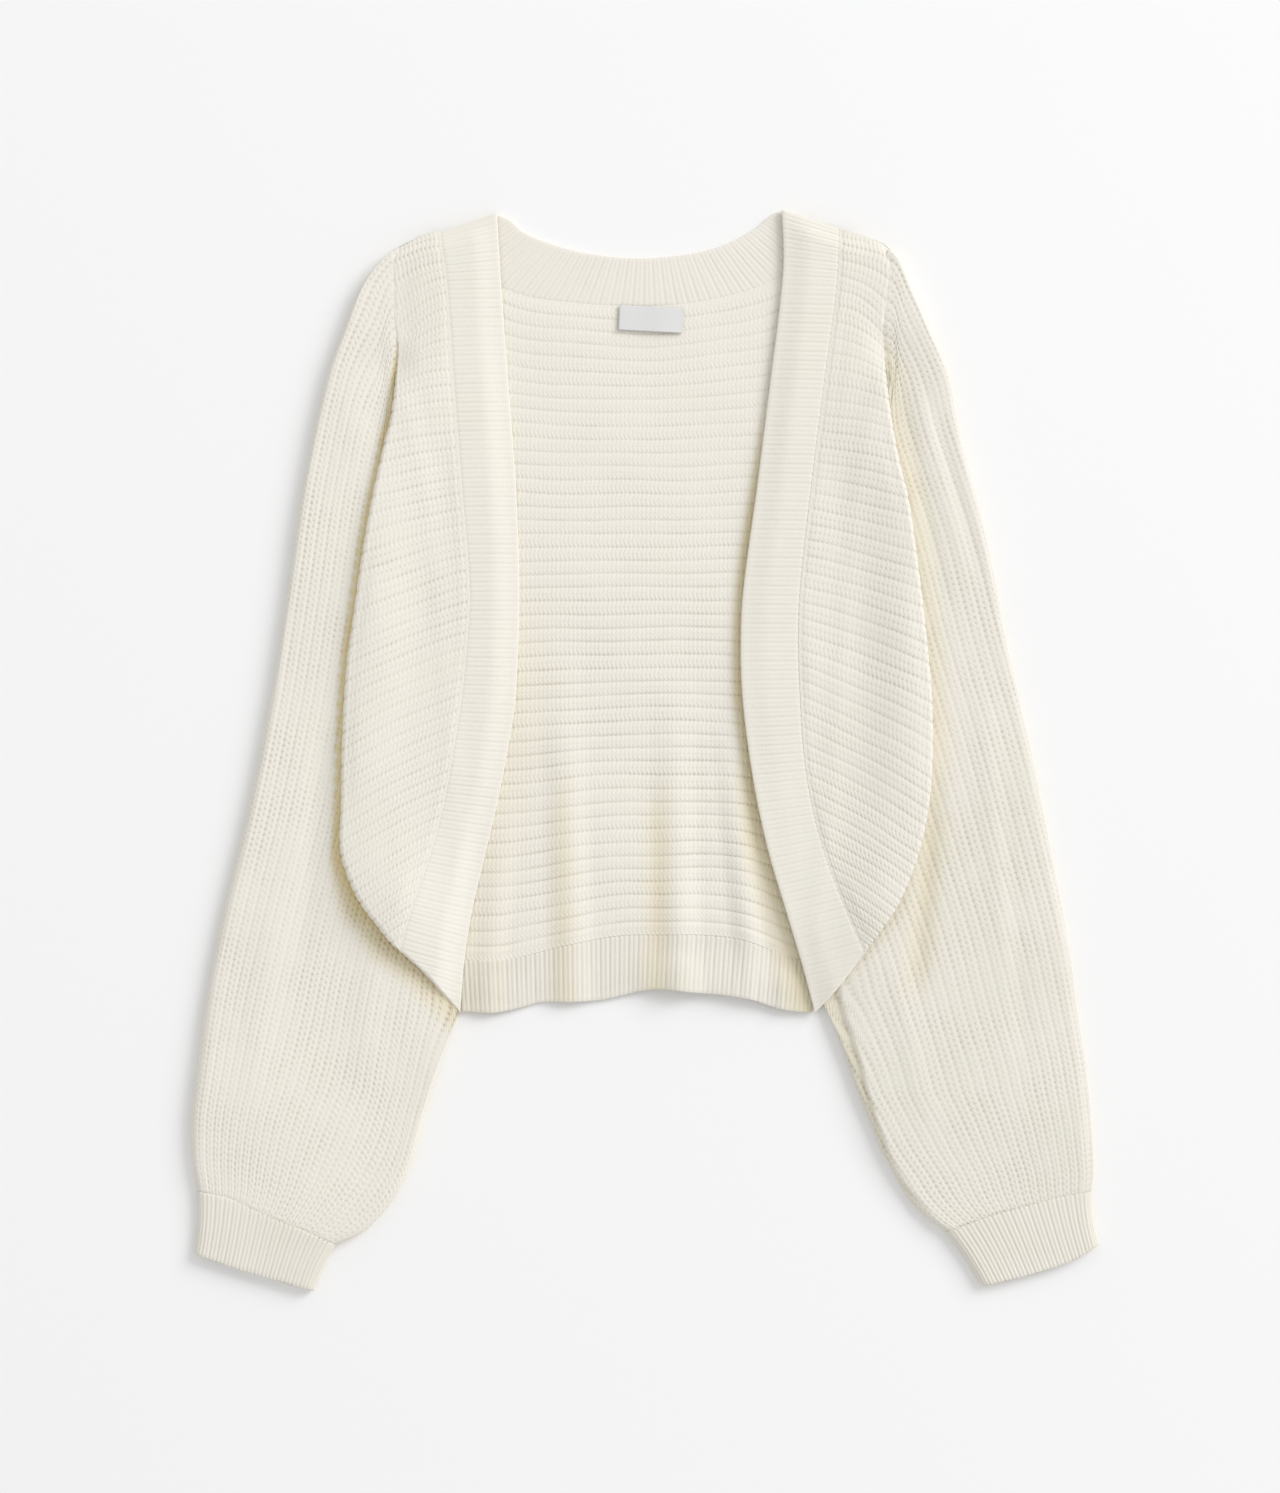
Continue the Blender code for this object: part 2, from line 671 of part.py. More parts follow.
def main():
    for obj in list(bpy.data.objects):
        bpy.data.objects.remove(obj)
    collection = bpy.data.collections.new("bolero")
    bpy.context.scene.collection.children.link(collection)
    cream = (0.84, 0.81, 0.72)
    shade = (0.80, 0.77, 0.68)
    make_back(make_material("back_knit", cream, 0.92), collection)
    for side in SHAPES:
        make_front(side, make_material("front_knit_" + side, cream, 0.92), collection)
        make_front_band(side, make_material("front_band_knit_" + side, cream, 0.9), collection)
        make_sleeve(side, make_material("sleeve_knit_" + side, shade, 0.92), collection)
        make_cuff(side, make_material("cuff_knit_" + side, shade, 0.9), collection)
    make_flat_band("neck_band", NECK_FREE, NECK_SEAM, SEAM * 0.5, False,
                   make_material("neck_band_knit", cream, 0.9), collection)
    make_flat_band("hem_band", HEM_FREE, HEM_SEAM, -SEAM * 0.5, True,
                   make_material("hem_band_knit", cream, 0.9), collection)
    make_label(make_material("label_satin", (0.74, 0.74, 0.73), 0.5), collection)


main()
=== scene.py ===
# Cream bolero in chunky sideways rib, laid flat and seen from straight above.
# Lengths in the tables are millimetres. +X is the viewer's right, +Y the neck, +Z up.
import math
import time

import bmesh
import bpy
import numpy as np
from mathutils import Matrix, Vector


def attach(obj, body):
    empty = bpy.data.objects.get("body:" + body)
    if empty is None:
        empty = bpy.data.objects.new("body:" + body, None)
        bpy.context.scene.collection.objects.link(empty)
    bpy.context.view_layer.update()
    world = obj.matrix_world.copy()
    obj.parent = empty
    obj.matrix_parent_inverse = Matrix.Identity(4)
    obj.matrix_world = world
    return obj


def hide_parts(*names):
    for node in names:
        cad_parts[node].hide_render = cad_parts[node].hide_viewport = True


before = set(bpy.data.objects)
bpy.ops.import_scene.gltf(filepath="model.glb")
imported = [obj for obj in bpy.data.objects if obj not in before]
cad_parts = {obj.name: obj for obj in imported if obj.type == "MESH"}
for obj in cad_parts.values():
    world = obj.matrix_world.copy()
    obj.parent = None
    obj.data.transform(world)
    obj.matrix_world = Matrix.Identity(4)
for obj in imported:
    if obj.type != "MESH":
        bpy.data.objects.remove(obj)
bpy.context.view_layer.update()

mm = 0.001
turn = 2 * math.pi
goldenAngle = 2.399
started = time.time()


def report(text):
    print("bolero: %s, %.0f s" % (text, time.time() - started))


# the cloth's layers and outlines, the same as the solids'

layers = {
    "wall": 2.0,              # cloth under the rib valleys
    "rib": 1.1,
    "bandRib": 0.6,
    "sleeveFull": 9.0,        # flat tube: two walls and the air between them
    "sleevePressed": 6.6,     # the same tube where a front lies on it
    "cuffFull": 7.4,
    "frontUnder": 6.4,        # under the front, where it lies over the back
    "frontFlush": 5.9,        # under the front, where it runs on into the sleeve
    "frontShoulder": 3.8,     # under the front, at the shoulder line
    "clear": 0.8,             # between a front and the sleeve under it
}

shapes = {
    "left": {
        "sign": -1,
        "pleatStart": 233.0,
        "shoulder": [(-83, 300.5), (-92.5, 297), (-106, 292.5), (-124, 288), (-133.5, 283.5),
                     (-138.5, 281)],
        "free": [(-83, 300.5), (-80.5, 260), (-77, 210), (-72.5, 150), (-70.5, 90), (-72.5, 30), (-77, 0),
                 (-83, -30), (-90, -60), (-97, -90), (-101.5, -120), (-103.5, -146.5)],
        "seam": [(-114.5, 290), (-110.5, 260), (-107, 210), (-102.5, 150), (-98, 90), (-99.5, 60),
                 (-102.5, 30), (-107, 0), (-112.5, -30), (-120.5, -60), (-130.5, -90), (-136.5, -111.5)],
        "fold": [(-138.5, 281), (-137.5, 233), (-139.5, 210), (-142.5, 185.5), (-145.8, 172.5),
                 (-152.8, 140.5), (-158, 111), (-162.9, 76), (-166.9, 46.5), (-169.1, 10), (-169.9, -30),
                 (-170.2, -56), (-164, -75.5), (-157, -88), (-151.5, -95), (-142.5, -106.5),
                 (-136.5, -111.5)],
        "lower": [(-136.5, -111.5), (-123, -124), (-114, -134.5), (-103.5, -146.5)],
        "armhole": [(-138.5, 281), (-137.5, 233), (-139.8, 215), (-140.8, 205), (-137, 190), (-131, 165),
                    (-126, 140), (-120, 85), (-115, 30), (-110, -30), (-107, -83), (-104.8, -146.3)],
        "contour": [(-138.5, 281), (-146.5, 274.5), (-158, 260), (-166.5, 240), (-177.5, 210),
                    (-190.5, 150), (-199.5, 90), (-209, 30), (-221, -30), (-235.5, -90), (-244.5, -135),
                    (-250, -175), (-253.5, -205), (-253, -230), (-250.5, -246), (-249.5, -262),
                    (-251, -280)],
        "inner": [(-104.8, -146.3), (-112, -167), (-122.5, -201), (-127, -218), (-132.5, -235),
                  (-141.5, -251.5), (-156.5, -268), (-173, -276)],
        "cuffSeam": [(-250.5, -246), (-232, -250), (-218.5, -256.5), (-206, -262), (-190.5, -268),
                     (-173, -276)],
        "cuffEnd": [(-252.5, -281), (-240.5, -285.5), (-226, -290), (-211, -294.5), (-185.5, -302)],
        # height of a band rib at the free edge, and at its other end
        "bandFall": [(300.5, 290), (285, 279.5), (262, 261), (60, 60), (0, 2), (-30, -26.5), (-60, -54.5),
                     (-90, -82.5), (-106, -96), (-121.5, -111.5), (-130, -122), (-138, -134),
                     (-146.5, -145.2)],
        # seam height where a rib leaves the band, height where it meets the folded edge, sag on the way
        "ribFall": [(290, 283, 9.5), (278, 272.7, 7), (271.6, 262.6, 8), (262, 246.4, 9.5),
                    (252.6, 232.5, 9.5), (243, 223.5, 8.5), (233, 217, 7), (218, 209, 4), (185, 179, 2),
                    (170, 161, 1), (140, 127, 2), (100, 76, 3), (60, 31, 4), (20, -13, 4), (-15, -48, 4),
                    (-45, -74, 3), (-70, -91, 2), (-90, -101, 1), (-105, -108.5, 0), (-111.5, -111.5, 0)],
    },
    "right": {
        "sign": 1,
        "pleatStart": 243.0,
        "shoulder": [(76, 302.5), (94.5, 297), (106, 292.5), (120, 288), (132, 283.5), (136.5, 280)],
        "free": [(76, 302.5), (77, 275), (75, 250), (70, 210), (62.5, 150), (54.5, 90), (53, 60), (54, 30),
                 (57.5, 0), (62.5, -30), (69.5, -60), (78.5, -90), (87.5, -120), (94.5, -146.5)],
        "seam": [(108, 291.5), (106.5, 260), (100, 210), (92.5, 150), (86, 90), (85, 60), (86, 30), (88, 0),
                 (92.5, -30), (100.5, -60), (112, -90), (122, -113)],
        "fold": [(136.5, 280), (131.5, 250), (133.5, 222), (136, 195.5), (141.5, 162.5), (146.5, 142),
                 (151, 112), (156.5, 66.5), (160, 25), (159.5, -17), (156.5, -40), (151, -62), (141.5, -85),
                 (133, -98), (122, -113)],
        "lower": [(122, -113), (116, -121), (106, -134), (94.5, -146.5)],
        "armhole": [(136.5, 280), (131.5, 250), (133.5, 222), (135, 208), (131, 190), (126, 165),
                    (122, 140), (117, 85), (112, 30), (107, -30), (101, -83), (97.5, -137)],
        "contour": [(136.5, 280), (142, 271.5), (146.6, 262), (156.8, 240), (169.2, 210), (175, 180),
                    (190.5, 120), (202, 60), (215.5, 0), (227.5, -60), (236, -105), (241.5, -146),
                    (246, -175), (249, -205), (250.5, -235), (249.5, -246), (249.5, -262), (252, -276)],
        "inner": [(97.5, -137), (101.1, -142.8), (105.8, -154.6), (112, -170.2), (119, -190.4),
                  (126.1, -207.6), (132.3, -223.1), (140, -237.1), (147.8, -250.9), (158.8, -262.1),
                  (168, -268.5)],
        # where the sleeve folds over near its inner edge
        "step": [(104.5, -120), (107.2, -134.4), (112, -151.6), (118.3, -170.2), (123.5, -190.4),
                 (130.8, -212.2), (139.2, -234.1), (147.8, -246.4), (164.9, -264.9)],
        "cuffSeam": [(249.5, -246), (234, -248.5), (218.5, -252.5), (199, -257.5), (186, -262),
                     (168, -268.5)],
        "cuffEnd": [(253.5, -276), (239, -284.5), (222, -290.5), (204, -295.5), (188, -299)],
        "bandFall": [(302.5, 291.5), (286, 280), (262, 261), (60, 60), (0, 2), (-30, -26.5), (-60, -54),
                     (-90, -82), (-106, -96.5), (-122, -113), (-130, -123), (-138, -134.5),
                     (-146.5, -145.2)],
        "ribFall": [(291.5, 283, 9.5), (280, 273, 7), (272, 263.5, 8), (263, 250, 9), (254, 239, 9),
                    (244, 229, 8), (234, 220.5, 6), (218, 208, 4), (185, 177, 2), (140, 126, 2),
                    (84, 60, 3), (28, -10, 4), (-16, -54, 4), (-56, -84, 3), (-84, -100, 1),
                    (-113, -113, 0)],
    },
}

neckFree = [(-83, 300.5), (-75.5, 297), (-68, 290.5), (-51, 283.5), (-31, 278.5), (-3, 276), (25, 278.5),
            (44, 283.5), (61.5, 292.5), (71, 300.5), (76, 302.5)]
neckSeam = [(-113.5, 289), (-98.5, 271), (-78.5, 258.5), (-64.5, 254), (-42.5, 251), (-14.5, 249), (8, 249),
            (30.5, 251.5), (53, 256.5), (69.5, 262), (92, 275), (107, 289)]
hemFree = [(-103, -146), (-84.5, -146.6), (-70.5, -144), (-58.5, -140.8), (-44, -140.6), (-25.5, -139.6),
           (-13.5, -137), (-3, -134.4), (5.5, -133.4), (15, -133.8), (26.5, -135.2), (45, -136.8),
           (59.5, -139.4), (73.5, -144), (84, -146), (93, -146.4)]
hemSeam = [(-105, -117), (-81.5, -117.5), (-64.5, -114), (-42.5, -108.5), (-14.5, -103.5), (8, -103),
           (30.5, -103), (55.5, -106), (81, -116), (96, -118)]


# small maths on arrays

def smooth(t):
    t = np.clip(t, 0.0, 1.0)
    return t * t * (3 - 2 * t)


def ramp(value, start, end):
    # 0 at start and before it, 1 at end and past it
    return smooth((value - start) / (end - start))


def mix(a, b, t):
    return a + (b - a) * t


def softMax(a, b, width):
    return 0.5 * (a + b + np.hypot(a - b, width))


def unit(vectors):
    return vectors / np.maximum(np.linalg.norm(vectors, axis=-1, keepdims=True), 1e-9)


def together(*parts):
    return np.stack(np.broadcast_arrays(*parts), axis=-1).astype(float)


def xy(points):
    return points[..., 0], points[..., 1]


def nothing(x, y):
    return 0 * x


def beside(*parts):
    return np.concatenate(parts, axis=1)


def straightUp(x):
    return together(0 * x, 0 * x, 0 * x + 1)


class Line:
    # a smooth line through a few points
    def __init__(self, points, steps=14):
        pts = np.array(points, float)
        ends = np.vstack([2 * pts[0] - pts[1], pts, 2 * pts[-1] - pts[-2]])
        dense = [pts[0]]
        for i in range(len(pts) - 1):
            p0, p1, p2, p3 = ends[i:i + 4]
            span = np.linalg.norm(p2 - p1)
            m1 = (p2 - p0) * span / (np.linalg.norm(p2 - p1) + np.linalg.norm(p1 - p0))
            m2 = (p3 - p1) * span / (np.linalg.norm(p3 - p2) + np.linalg.norm(p2 - p1))
            for k in range(1, steps + 1):
                t = k / steps
                dense.append((2 * t ** 3 - 3 * t ** 2 + 1) * p1 + (t ** 3 - 2 * t ** 2 + t) * m1
                             + (3 * t ** 2 - 2 * t ** 3) * p2 + (t ** 3 - t ** 2) * m2)
        self.points = np.array(dense)
        runs = np.linalg.norm(np.diff(self.points, axis=0), axis=1)
        self.along = np.concatenate([[0.0], np.cumsum(runs)])
        self.length = self.along[-1]
        self.byY = np.argsort(self.points[:, 1], kind="stable")
        self.byX = np.argsort(self.points[:, 0], kind="stable")

    def at(self, t):
        s = np.clip(t, 0.0, 1.0) * self.length
        return together(*(np.interp(s, self.along, column) for column in self.points.T))

    def xAt(self, y):
        return np.interp(y, self.points[self.byY, 1], self.points[self.byY, 0])

    def yAt(self, x):
        return np.interp(x, self.points[self.byX, 0], self.points[self.byX, 1])

    def placeOfY(self, y):
        return np.interp(y, self.points[self.byY, 1], self.along[self.byY]) / self.length


lines = {side: {name: Line(rows) for name, rows in shape.items()
                if isinstance(rows, list) and name not in ("ribFall", "bandFall")}
         for side, shape in shapes.items()}
neckLine = Line(neckSeam)
hemLine = Line(hemSeam)


def distanceTo(points, x, y):
    # shortest way from each place to a row of points
    best = np.full(np.broadcast(x, y).shape, 1e9)
    for px, py in points:
        best = np.minimum(best, np.hypot(x - px, y - py))
    return best


def wander(x, y, seed, size):
    # slow unevenness of handled cloth, about -1 to 1
    value = 0 * (x + y)
    for i in range(5):
        angle = seed * 1.7 + i * goldenAngle
        wave = turn / (size * (1 + 0.37 * i))
        value = value + np.sin(wave * (x * math.cos(angle) + y * math.sin(angle)) + seed * 3.1 + i * 1.3)
    return value / 2.6


def creaseLift(rows, x, y):
    # soft ridges, or hollows where the height is negative, from one point to another
    lift = np.zeros(np.broadcast(x, y).shape)
    for x0, y0, x1, y1, width, height in rows:
        dx, dy = x1 - x0, y1 - y0
        long = math.hypot(dx, dy)
        t = ((x - x0) * dx + (y - y0) * dy) / long ** 2
        away = ((x - x0) * dy - (y - y0) * dx) / long / width
        lift += height * np.exp(-away ** 2) * ramp(t, 0, 0.3) * ramp(t, 1, 0.7)
    return lift


# nodes

class Value:
    # a socket that can be used in an expression
    def __init__(self, tree, socket):
        self.tree = tree
        self.socket = socket

    def math(self, operation, *others):
        node = self.tree.add("ShaderNodeMath", {"operation": operation},
                             dict(enumerate((self,) + others)))
        return Value(self.tree, node.outputs[0])

    def __add__(self, other):
        return self.math("ADD", other)

    def __sub__(self, other):
        return self.math("SUBTRACT", other)

    def __rsub__(self, other):
        return (-self).math("ADD", other)

    def __mul__(self, other):
        return self.math("MULTIPLY", other)

    def __pow__(self, other):
        return self.math("POWER", other)

    def __neg__(self):
        return self.math("MULTIPLY", -1.0)

    def __abs__(self):
        return self.math("ABSOLUTE")

    def cos(self):
        return self.math("COSINE")

    def sin(self):
        return self.math("SINE")

    def fraction(self):
        return self.math("FRACT")

    def floor(self):
        return self.math("FLOOR")

    def clipped(self):
        return self.math("MAXIMUM", 0.0).math("MINIMUM", 1.0)


class Tree:
    def __init__(self, nodeTree):
        self.nodeTree = nodeTree

    def add(self, kind, settings=None, values=None):
        node = self.nodeTree.nodes.new(kind)
        for name, value in (settings or {}).items():
            setattr(node, name, value)
        for key, value in (values or {}).items():
            self.give(node.inputs[key], value)
        return node

    def give(self, socket, value):
        if isinstance(value, Value):
            value = value.socket
        if isinstance(value, bpy.types.NodeSocket):
            self.nodeTree.links.new(value, socket)
        elif isinstance(value, tuple) and len(value) == 3:   # a colour
            socket.default_value = (*value, 1.0)
        else:
            socket.default_value = value

    def value(self, kind, settings=None, values=None, output=0):
        return Value(self, self.add(kind, settings, values).outputs[output])

    def split(self, vector):
        parts = self.add("ShaderNodeSeparateXYZ", None, {0: vector})
        return [Value(self, output) for output in parts.outputs]

    def mixed(self, share, a, b, blend="MIX"):
        # colour a where the share is 0, b (or a blended with b) where it is 1
        return self.add("ShaderNodeMix", {"data_type": "RGBA", "blend_type": blend},
                        {0: share, 6: a, 7: b}).outputs[2]


def knitHeights(r, s, sharp, halfDrop):
    # r counts ribs, s counts stitches; gives the broad rib, its grooves, the line along its middle,
    # the holes of both, and the strands
    ribWave = (r * turn).cos()
    broad = ribWave * 0.5 + 0.5
    groove = broad ** sharp
    middle = (0.5 - ribWave * 0.5) ** sharp
    drift = ((r * 2.0 + 0.5).floor() * 2.4).sin() * 0.16
    beat = ((s + drift) * turn).cos()
    hole = groove * ((beat * 0.5 + 0.5) ** 3.0)
    middleHole = middle * ((beat * (0.5 - halfDrop) + 0.5) ** 3.0)
    lean = abs((r.fraction() - 0.5) * 2.0)
    strand = ((s - lean * 0.8) * turn).cos() * (1.0 - groove) * (1.0 - middle)
    return broad, groove, middle, hole, middleHole, strand


# the knit's relief, raised by geometry nodes

def makeKnitTree():
    group = bpy.data.node_groups.new("knitRelief", "GeometryNodeTree")
    group.interface.new_socket("Geometry", in_out="INPUT", socket_type="NodeSocketGeometry")
    for name in ("Rib Depth", "Groove Depth", "Middle Depth", "Hole Depth", "Middle Hole",
                 "Strand Height", "Sharpness", "Half Drop"):
        group.interface.new_socket(name, in_out="INPUT", socket_type="NodeSocketFloat")
    group.interface.new_socket("Material", in_out="INPUT", socket_type="NodeSocketMaterial")
    group.interface.new_socket("Geometry", in_out="OUTPUT", socket_type="NodeSocketGeometry")
    tree = Tree(group)
    source = tree.add("NodeGroupInput")

    def named(name):
        return Value(tree, source.outputs[name])

    knit, outward = (tree.add("GeometryNodeInputNamedAttribute", {"data_type": "FLOAT_VECTOR"},
                              {"Name": name}) for name in ("knit", "outward"))
    r, s, strength = tree.split(knit.outputs[0])
    broad, groove, middle, hole, middleHole, strand = knitHeights(
        r, s, named("Sharpness"), named("Half Drop"))
    sunk = (broad * named("Rib Depth") + groove * named("Groove Depth") + middle * named("Middle Depth")
            + hole * named("Hole Depth") + middleHole * named("Middle Hole"))
    height = (strand * named("Strand Height") - sunk) * strength * mm
    offset = tree.add("ShaderNodeVectorMath", {"operation": "SCALE"},
                      {0: outward.outputs[0], "Scale": height})
    moved = tree.add("GeometryNodeSetPosition", None, {"Geometry": source.outputs["Geometry"],
                                                       "Offset": offset.outputs[0]})
    solid = tree.add("GeometryNodeRealizeInstances", None, {"Geometry": moved.outputs[0]})
    painted = tree.add("GeometryNodeSetMaterial", None, {"Geometry": solid.outputs[0],
                                                         "Material": source.outputs["Material"]})
    tree.add("NodeGroupOutput", None, {"Geometry": painted.outputs[0]})
    return group


def applyTree(obj, group, values):
    # runs a geometry nodes tree on an object and keeps the plain mesh
    modifier = obj.modifiers.new("nodes", "NODES")
    modifier.node_group = group
    for item in group.interface.items_tree:
        if item.item_type == "SOCKET" and item.in_out == "INPUT" and item.name in values:
            modifier[item.identifier] = values[item.name]
    bpy.context.view_layer.update()
    depsgraph = bpy.context.evaluated_depsgraph_get()
    mesh = bpy.data.meshes.new_from_object(obj.evaluated_get(depsgraph), depsgraph=depsgraph)
    obj.modifiers.clear()
    plain = obj.data
    obj.data = mesh
    mesh.name = obj.name
    bpy.data.meshes.remove(plain)
    return obj


knitTree = makeKnitTree()


# meshes from grids of points

def gridFaces(first, rows, columns, wrap):
    index = first + np.arange(rows * columns).reshape(rows, columns)
    if wrap:
        index = np.hstack([index, index[:, :1]])
    a, b = index[:-1, :-1], index[:-1, 1:]
    c, d = index[1:, 1:], index[1:, :-1]
    return np.stack([a, b, c, d], axis=-1).reshape(-1, 4).tolist(), index


def joinRows(faces, a, b):
    # fills the strip between two rows of vertices, whatever their counts
    i = j = 0
    lastA, lastB = len(a) - 1, len(b) - 1
    while i < lastA or j < lastB:
        if j == lastB or (i < lastA and (i + 1) * lastB <= (j + 1) * lastA):
            faces.append((a[i], a[i + 1], b[j]))
            i += 1
        else:
            faces.append((a[i], b[j + 1], b[j]))
            j += 1


def makeShell(name, grids, joins, wrap=0):
    # grids: each has points, and may have outward, shade and knit; joins: pairs of edges that are closed;
    # wrap: ribs in the whole round of a tube
    points, outward, knit, shade, faces, indices = [], [], [], [], [], []
    count = 0
    for grid in grids:
        p = grid["points"]
        rows, columns = p.shape[:2]
        made, index = gridFaces(count, rows, columns, wrap)
        faces += made
        indices.append(index)
        points.append(p.reshape(-1, 3))
        plain = np.zeros_like(p)
        outward.append(grid.get("outward", plain).reshape(-1, 3))
        knit.append(grid.get("knit", plain).reshape(-1, 3))
        shade.append(grid.get("shade", plain[..., 0]).ravel())
        count += rows * columns
    surface = len(faces)
    for a, b in joins(indices):
        joinRows(faces, list(a), list(b))
    points, outward, knit, shade = (np.concatenate(part) for part in (points, outward, knit, shade))
    mesh = bpy.data.meshes.new(name)
    mesh.from_pydata((points * mm).tolist(), [], faces)
    work = bmesh.new()
    work.from_mesh(mesh)
    bmesh.ops.recalc_face_normals(work, faces=work.faces)
    if work.calc_volume(signed=True) < 0:
        bmesh.ops.reverse_faces(work, faces=work.faces)
    work.to_mesh(mesh)
    work.free()
    mesh.polygons.foreach_set("use_smooth", np.arange(len(faces)) < surface)   # crisp rims
    for label, data in (("knit", knit), ("outward", outward)):
        mesh.attributes.new(label, "FLOAT_VECTOR", "POINT").data.foreach_set("vector", data.ravel())
    mesh.attributes.new("shade", "FLOAT", "POINT").data.foreach_set("value", shade)
    corner = np.zeros(len(mesh.loops), int)
    mesh.loops.foreach_get("vertex_index", corner)
    uv = knit[corner, :2]
    if wrap:  # the closing column of faces goes on counting
        sizes = np.zeros(len(mesh.polygons), int)
        mesh.polygons.foreach_get("loop_total", sizes)
        owner = np.repeat(np.arange(len(sizes)), sizes)
        most = np.full(len(sizes), -1e9)
        np.maximum.at(most, owner, uv[:, 0])
        uv[:, 0] += np.where(most[owner] - uv[:, 0] > wrap / 2, wrap, 0)
    mesh.uv_layers.new(name="knitUV").data.foreach_set("uv", uv.ravel())
    obj = bpy.data.objects.new(name, mesh)
    bpy.context.scene.collection.objects.link(obj)
    return obj


def sheetJoins(indices):
    top, under = indices
    return [(top[0], under[0]), (top[-1], under[-1]), (top[:, 0], under[:, 0]), (top[:, -1], under[:, -1])]


def tubeJoins(indices):
    outer, inner = indices
    return [(outer[0], inner[0]), (outer[-1], inner[-1])]


# materials

creamYarn = {
    "cream": (0.846, 0.814, 0.727),
    "rosy": (0.85, 0.807, 0.737),
    # painted shade in the grooves and holes of the knit
    "hollow": (0.46, 0.41, 0.30),
    "paintedShadeTint": (0.90, 0.80, 0.50),   # painted shade: what the cream is multiplied by where deep folds and pieces lying over it shade it
    "dim": (0.80, 0.80, 0.85),    # and what the rims turned from the light do
    "roughness": 0.93,
    "fibre": 0.35,                # depth of the loose fibres in the bump
    # scale, detail and roughness of the patches, the unevenness, the fibres and the tufts
    "noises": [(14.0, 2.0, 0.5), (45.0, 2.0, 0.5), (1500.0, 3.0, 0.7), (420.0, 2.0, 0.5)],
}


def startMaterial(name):
    # a material without nodes, its tree, and the two counts of the knit's UV map
    material = bpy.data.materials.new(name)
    material.use_nodes = True
    material.node_tree.nodes.clear()
    tree = Tree(material.node_tree)
    r, s, _ = tree.split(tree.add("ShaderNodeUVMap", {"uv_map": "knitUV"}).outputs[0])
    return material, tree, r, s


def makeKnitMaterial(name, cream, look):
    # look: sharpness of the grooves, how dark the painted shade in groove, middle, hole and middle hole is,
    # half drop
    material, tree, r, s = startMaterial(name)
    place = tree.add("ShaderNodeTexCoord").outputs["Object"]
    shade = tree.value("ShaderNodeAttribute", {"attribute_name": "shade"}, output=2)
    strength = tree.split(tree.add("ShaderNodeAttribute", {"attribute_name": "knit"}).outputs[1])[2]
    patches, uneven, fibres, tufts = (
        tree.value("ShaderNodeTexNoise", None, {"Vector": place, "Scale": scale, "Detail": detail,
                                                "Roughness": roughness})
        for scale, detail, roughness in creamYarn["noises"])
    wobble = (tufts - 0.5) * 0.10
    broad, groove, middle, hole, middleHole, strand = knitHeights(
        r + wobble, s + wobble * 2.0, look["sharp"], look["halfDrop"])
    ply = ((s * 3.0 + r * 2.0 + tufts * 0.6) * turn).sin()
    clear = ((uneven - 0.35) * 3.0).clipped() * 0.9 + 0.4
    depth = ((groove * look["groove"] + middle * look["middle"] + hole * look["hole"]
              + middleHole * look["middleHole"] + broad * look["broad"]) * clear * strength).clipped()
    color = tree.mixed(((patches - 0.42) * 5.0).clipped() * 0.6 + 0.4, creamYarn["rosy"], cream)
    # painted shade: grooves and holes darken toward the hollow colour, the deeper the darker
    color = tree.mixed((depth + (fibres - 0.5) * 0.12).clipped(), color, creamYarn["hollow"])
    # painted shade: the shade attribute multiplies the cream by a yellowish darker colour, and where it is
    # negative by a grey
    color = tree.mixed((shade * (uneven * 0.4 + 0.8)).clipped(), color, creamYarn["paintedShadeTint"], "MULTIPLY")
    color = tree.mixed((shade * -1.0).clipped(), color, creamYarn["dim"], "MULTIPLY")
    height = (fibres * creamYarn["fibre"] + tufts * 0.25 + ply * 0.05 + strand * look["strand"]
              - depth * look["bump"])
    bump = tree.add("ShaderNodeBump", None, {"Strength": 0.75, "Distance": 0.0005, "Height": height})
    shader = tree.add("ShaderNodeBsdfPrincipled", None,
                      {"Base Color": color, "Roughness": fibres * 0.1 + creamYarn["roughness"] - 0.05,
                       "Normal": bump.outputs[0], "Sheen Weight": 0.25, "Sheen Roughness": 0.6,
                       "Sheen Tint": (1.0, 0.98, 0.94, 1.0), "Specular IOR Level": 0.15})
    tree.add("ShaderNodeOutputMaterial", None, {0: shader.outputs[0]})
    return material


def ribRows(ribs, pattern):
    # positions counted in ribs, the same uneven steps in each rib
    rows = (np.arange(ribs)[:, None] + np.array(pattern)[None, :]).ravel()
    return np.append(rows, ribs)


def finishKnit(obj, relief, material):
    values = dict(relief)
    values["Material"] = material
    applyTree(obj, knitTree, values)
    obj.data.attributes.remove(obj.data.attributes["outward"])
    return obj


# back

backSettings = {
    "pitch": 7.5,
    "stitch": 2.4,
    "ribPattern": (0, 0.08, 0.25, 0.5, 0.75, 0.92),
    "columns": 290,           # where it shows, between the bands
    "hiddenColumns": 5,
    "margin": 12.0,           # how far the fine knit goes on under the bands
    "left": -105.2,           # where it ends under the armholes
    "right": 95.6,
    "shoulderY": 281.0,
    "cornerY": -146.0,
    "wander": 0.5,            # sideways unevenness of the ribs
    "swell": 0.25,
    "seamStep": 0.55,         # sinks to the bands' thickness at the seams
    "upperRelief": 0.6,       # the knit is flatter near the neck, from the first height to the second
    "reliefFrom": (190, 20),
    # painted shade where the right band shades the back, a yellowish darkening, at heights from the hem up:
    # how far it reaches, how strong it is
    "shadeHeight": (-140, -60, 0, 215),
    "shadeReach": (23, 21, 9, 6),
    "shadeAmount": (0.5, 0.62, 0.75, 0.75),
    "shadeFrom": (215, 120),  # height where it begins, height where it is whole
    "leftShade": 0.12,        # the fainter painted shade beside the left band
    "leftReach": (34, 4),
    "leftFrom": (130, 20),
    "underRows": 60,
    "underColumns": 40,
    "flat": (0.276, 0.412),
    "area": 0.0885,
}
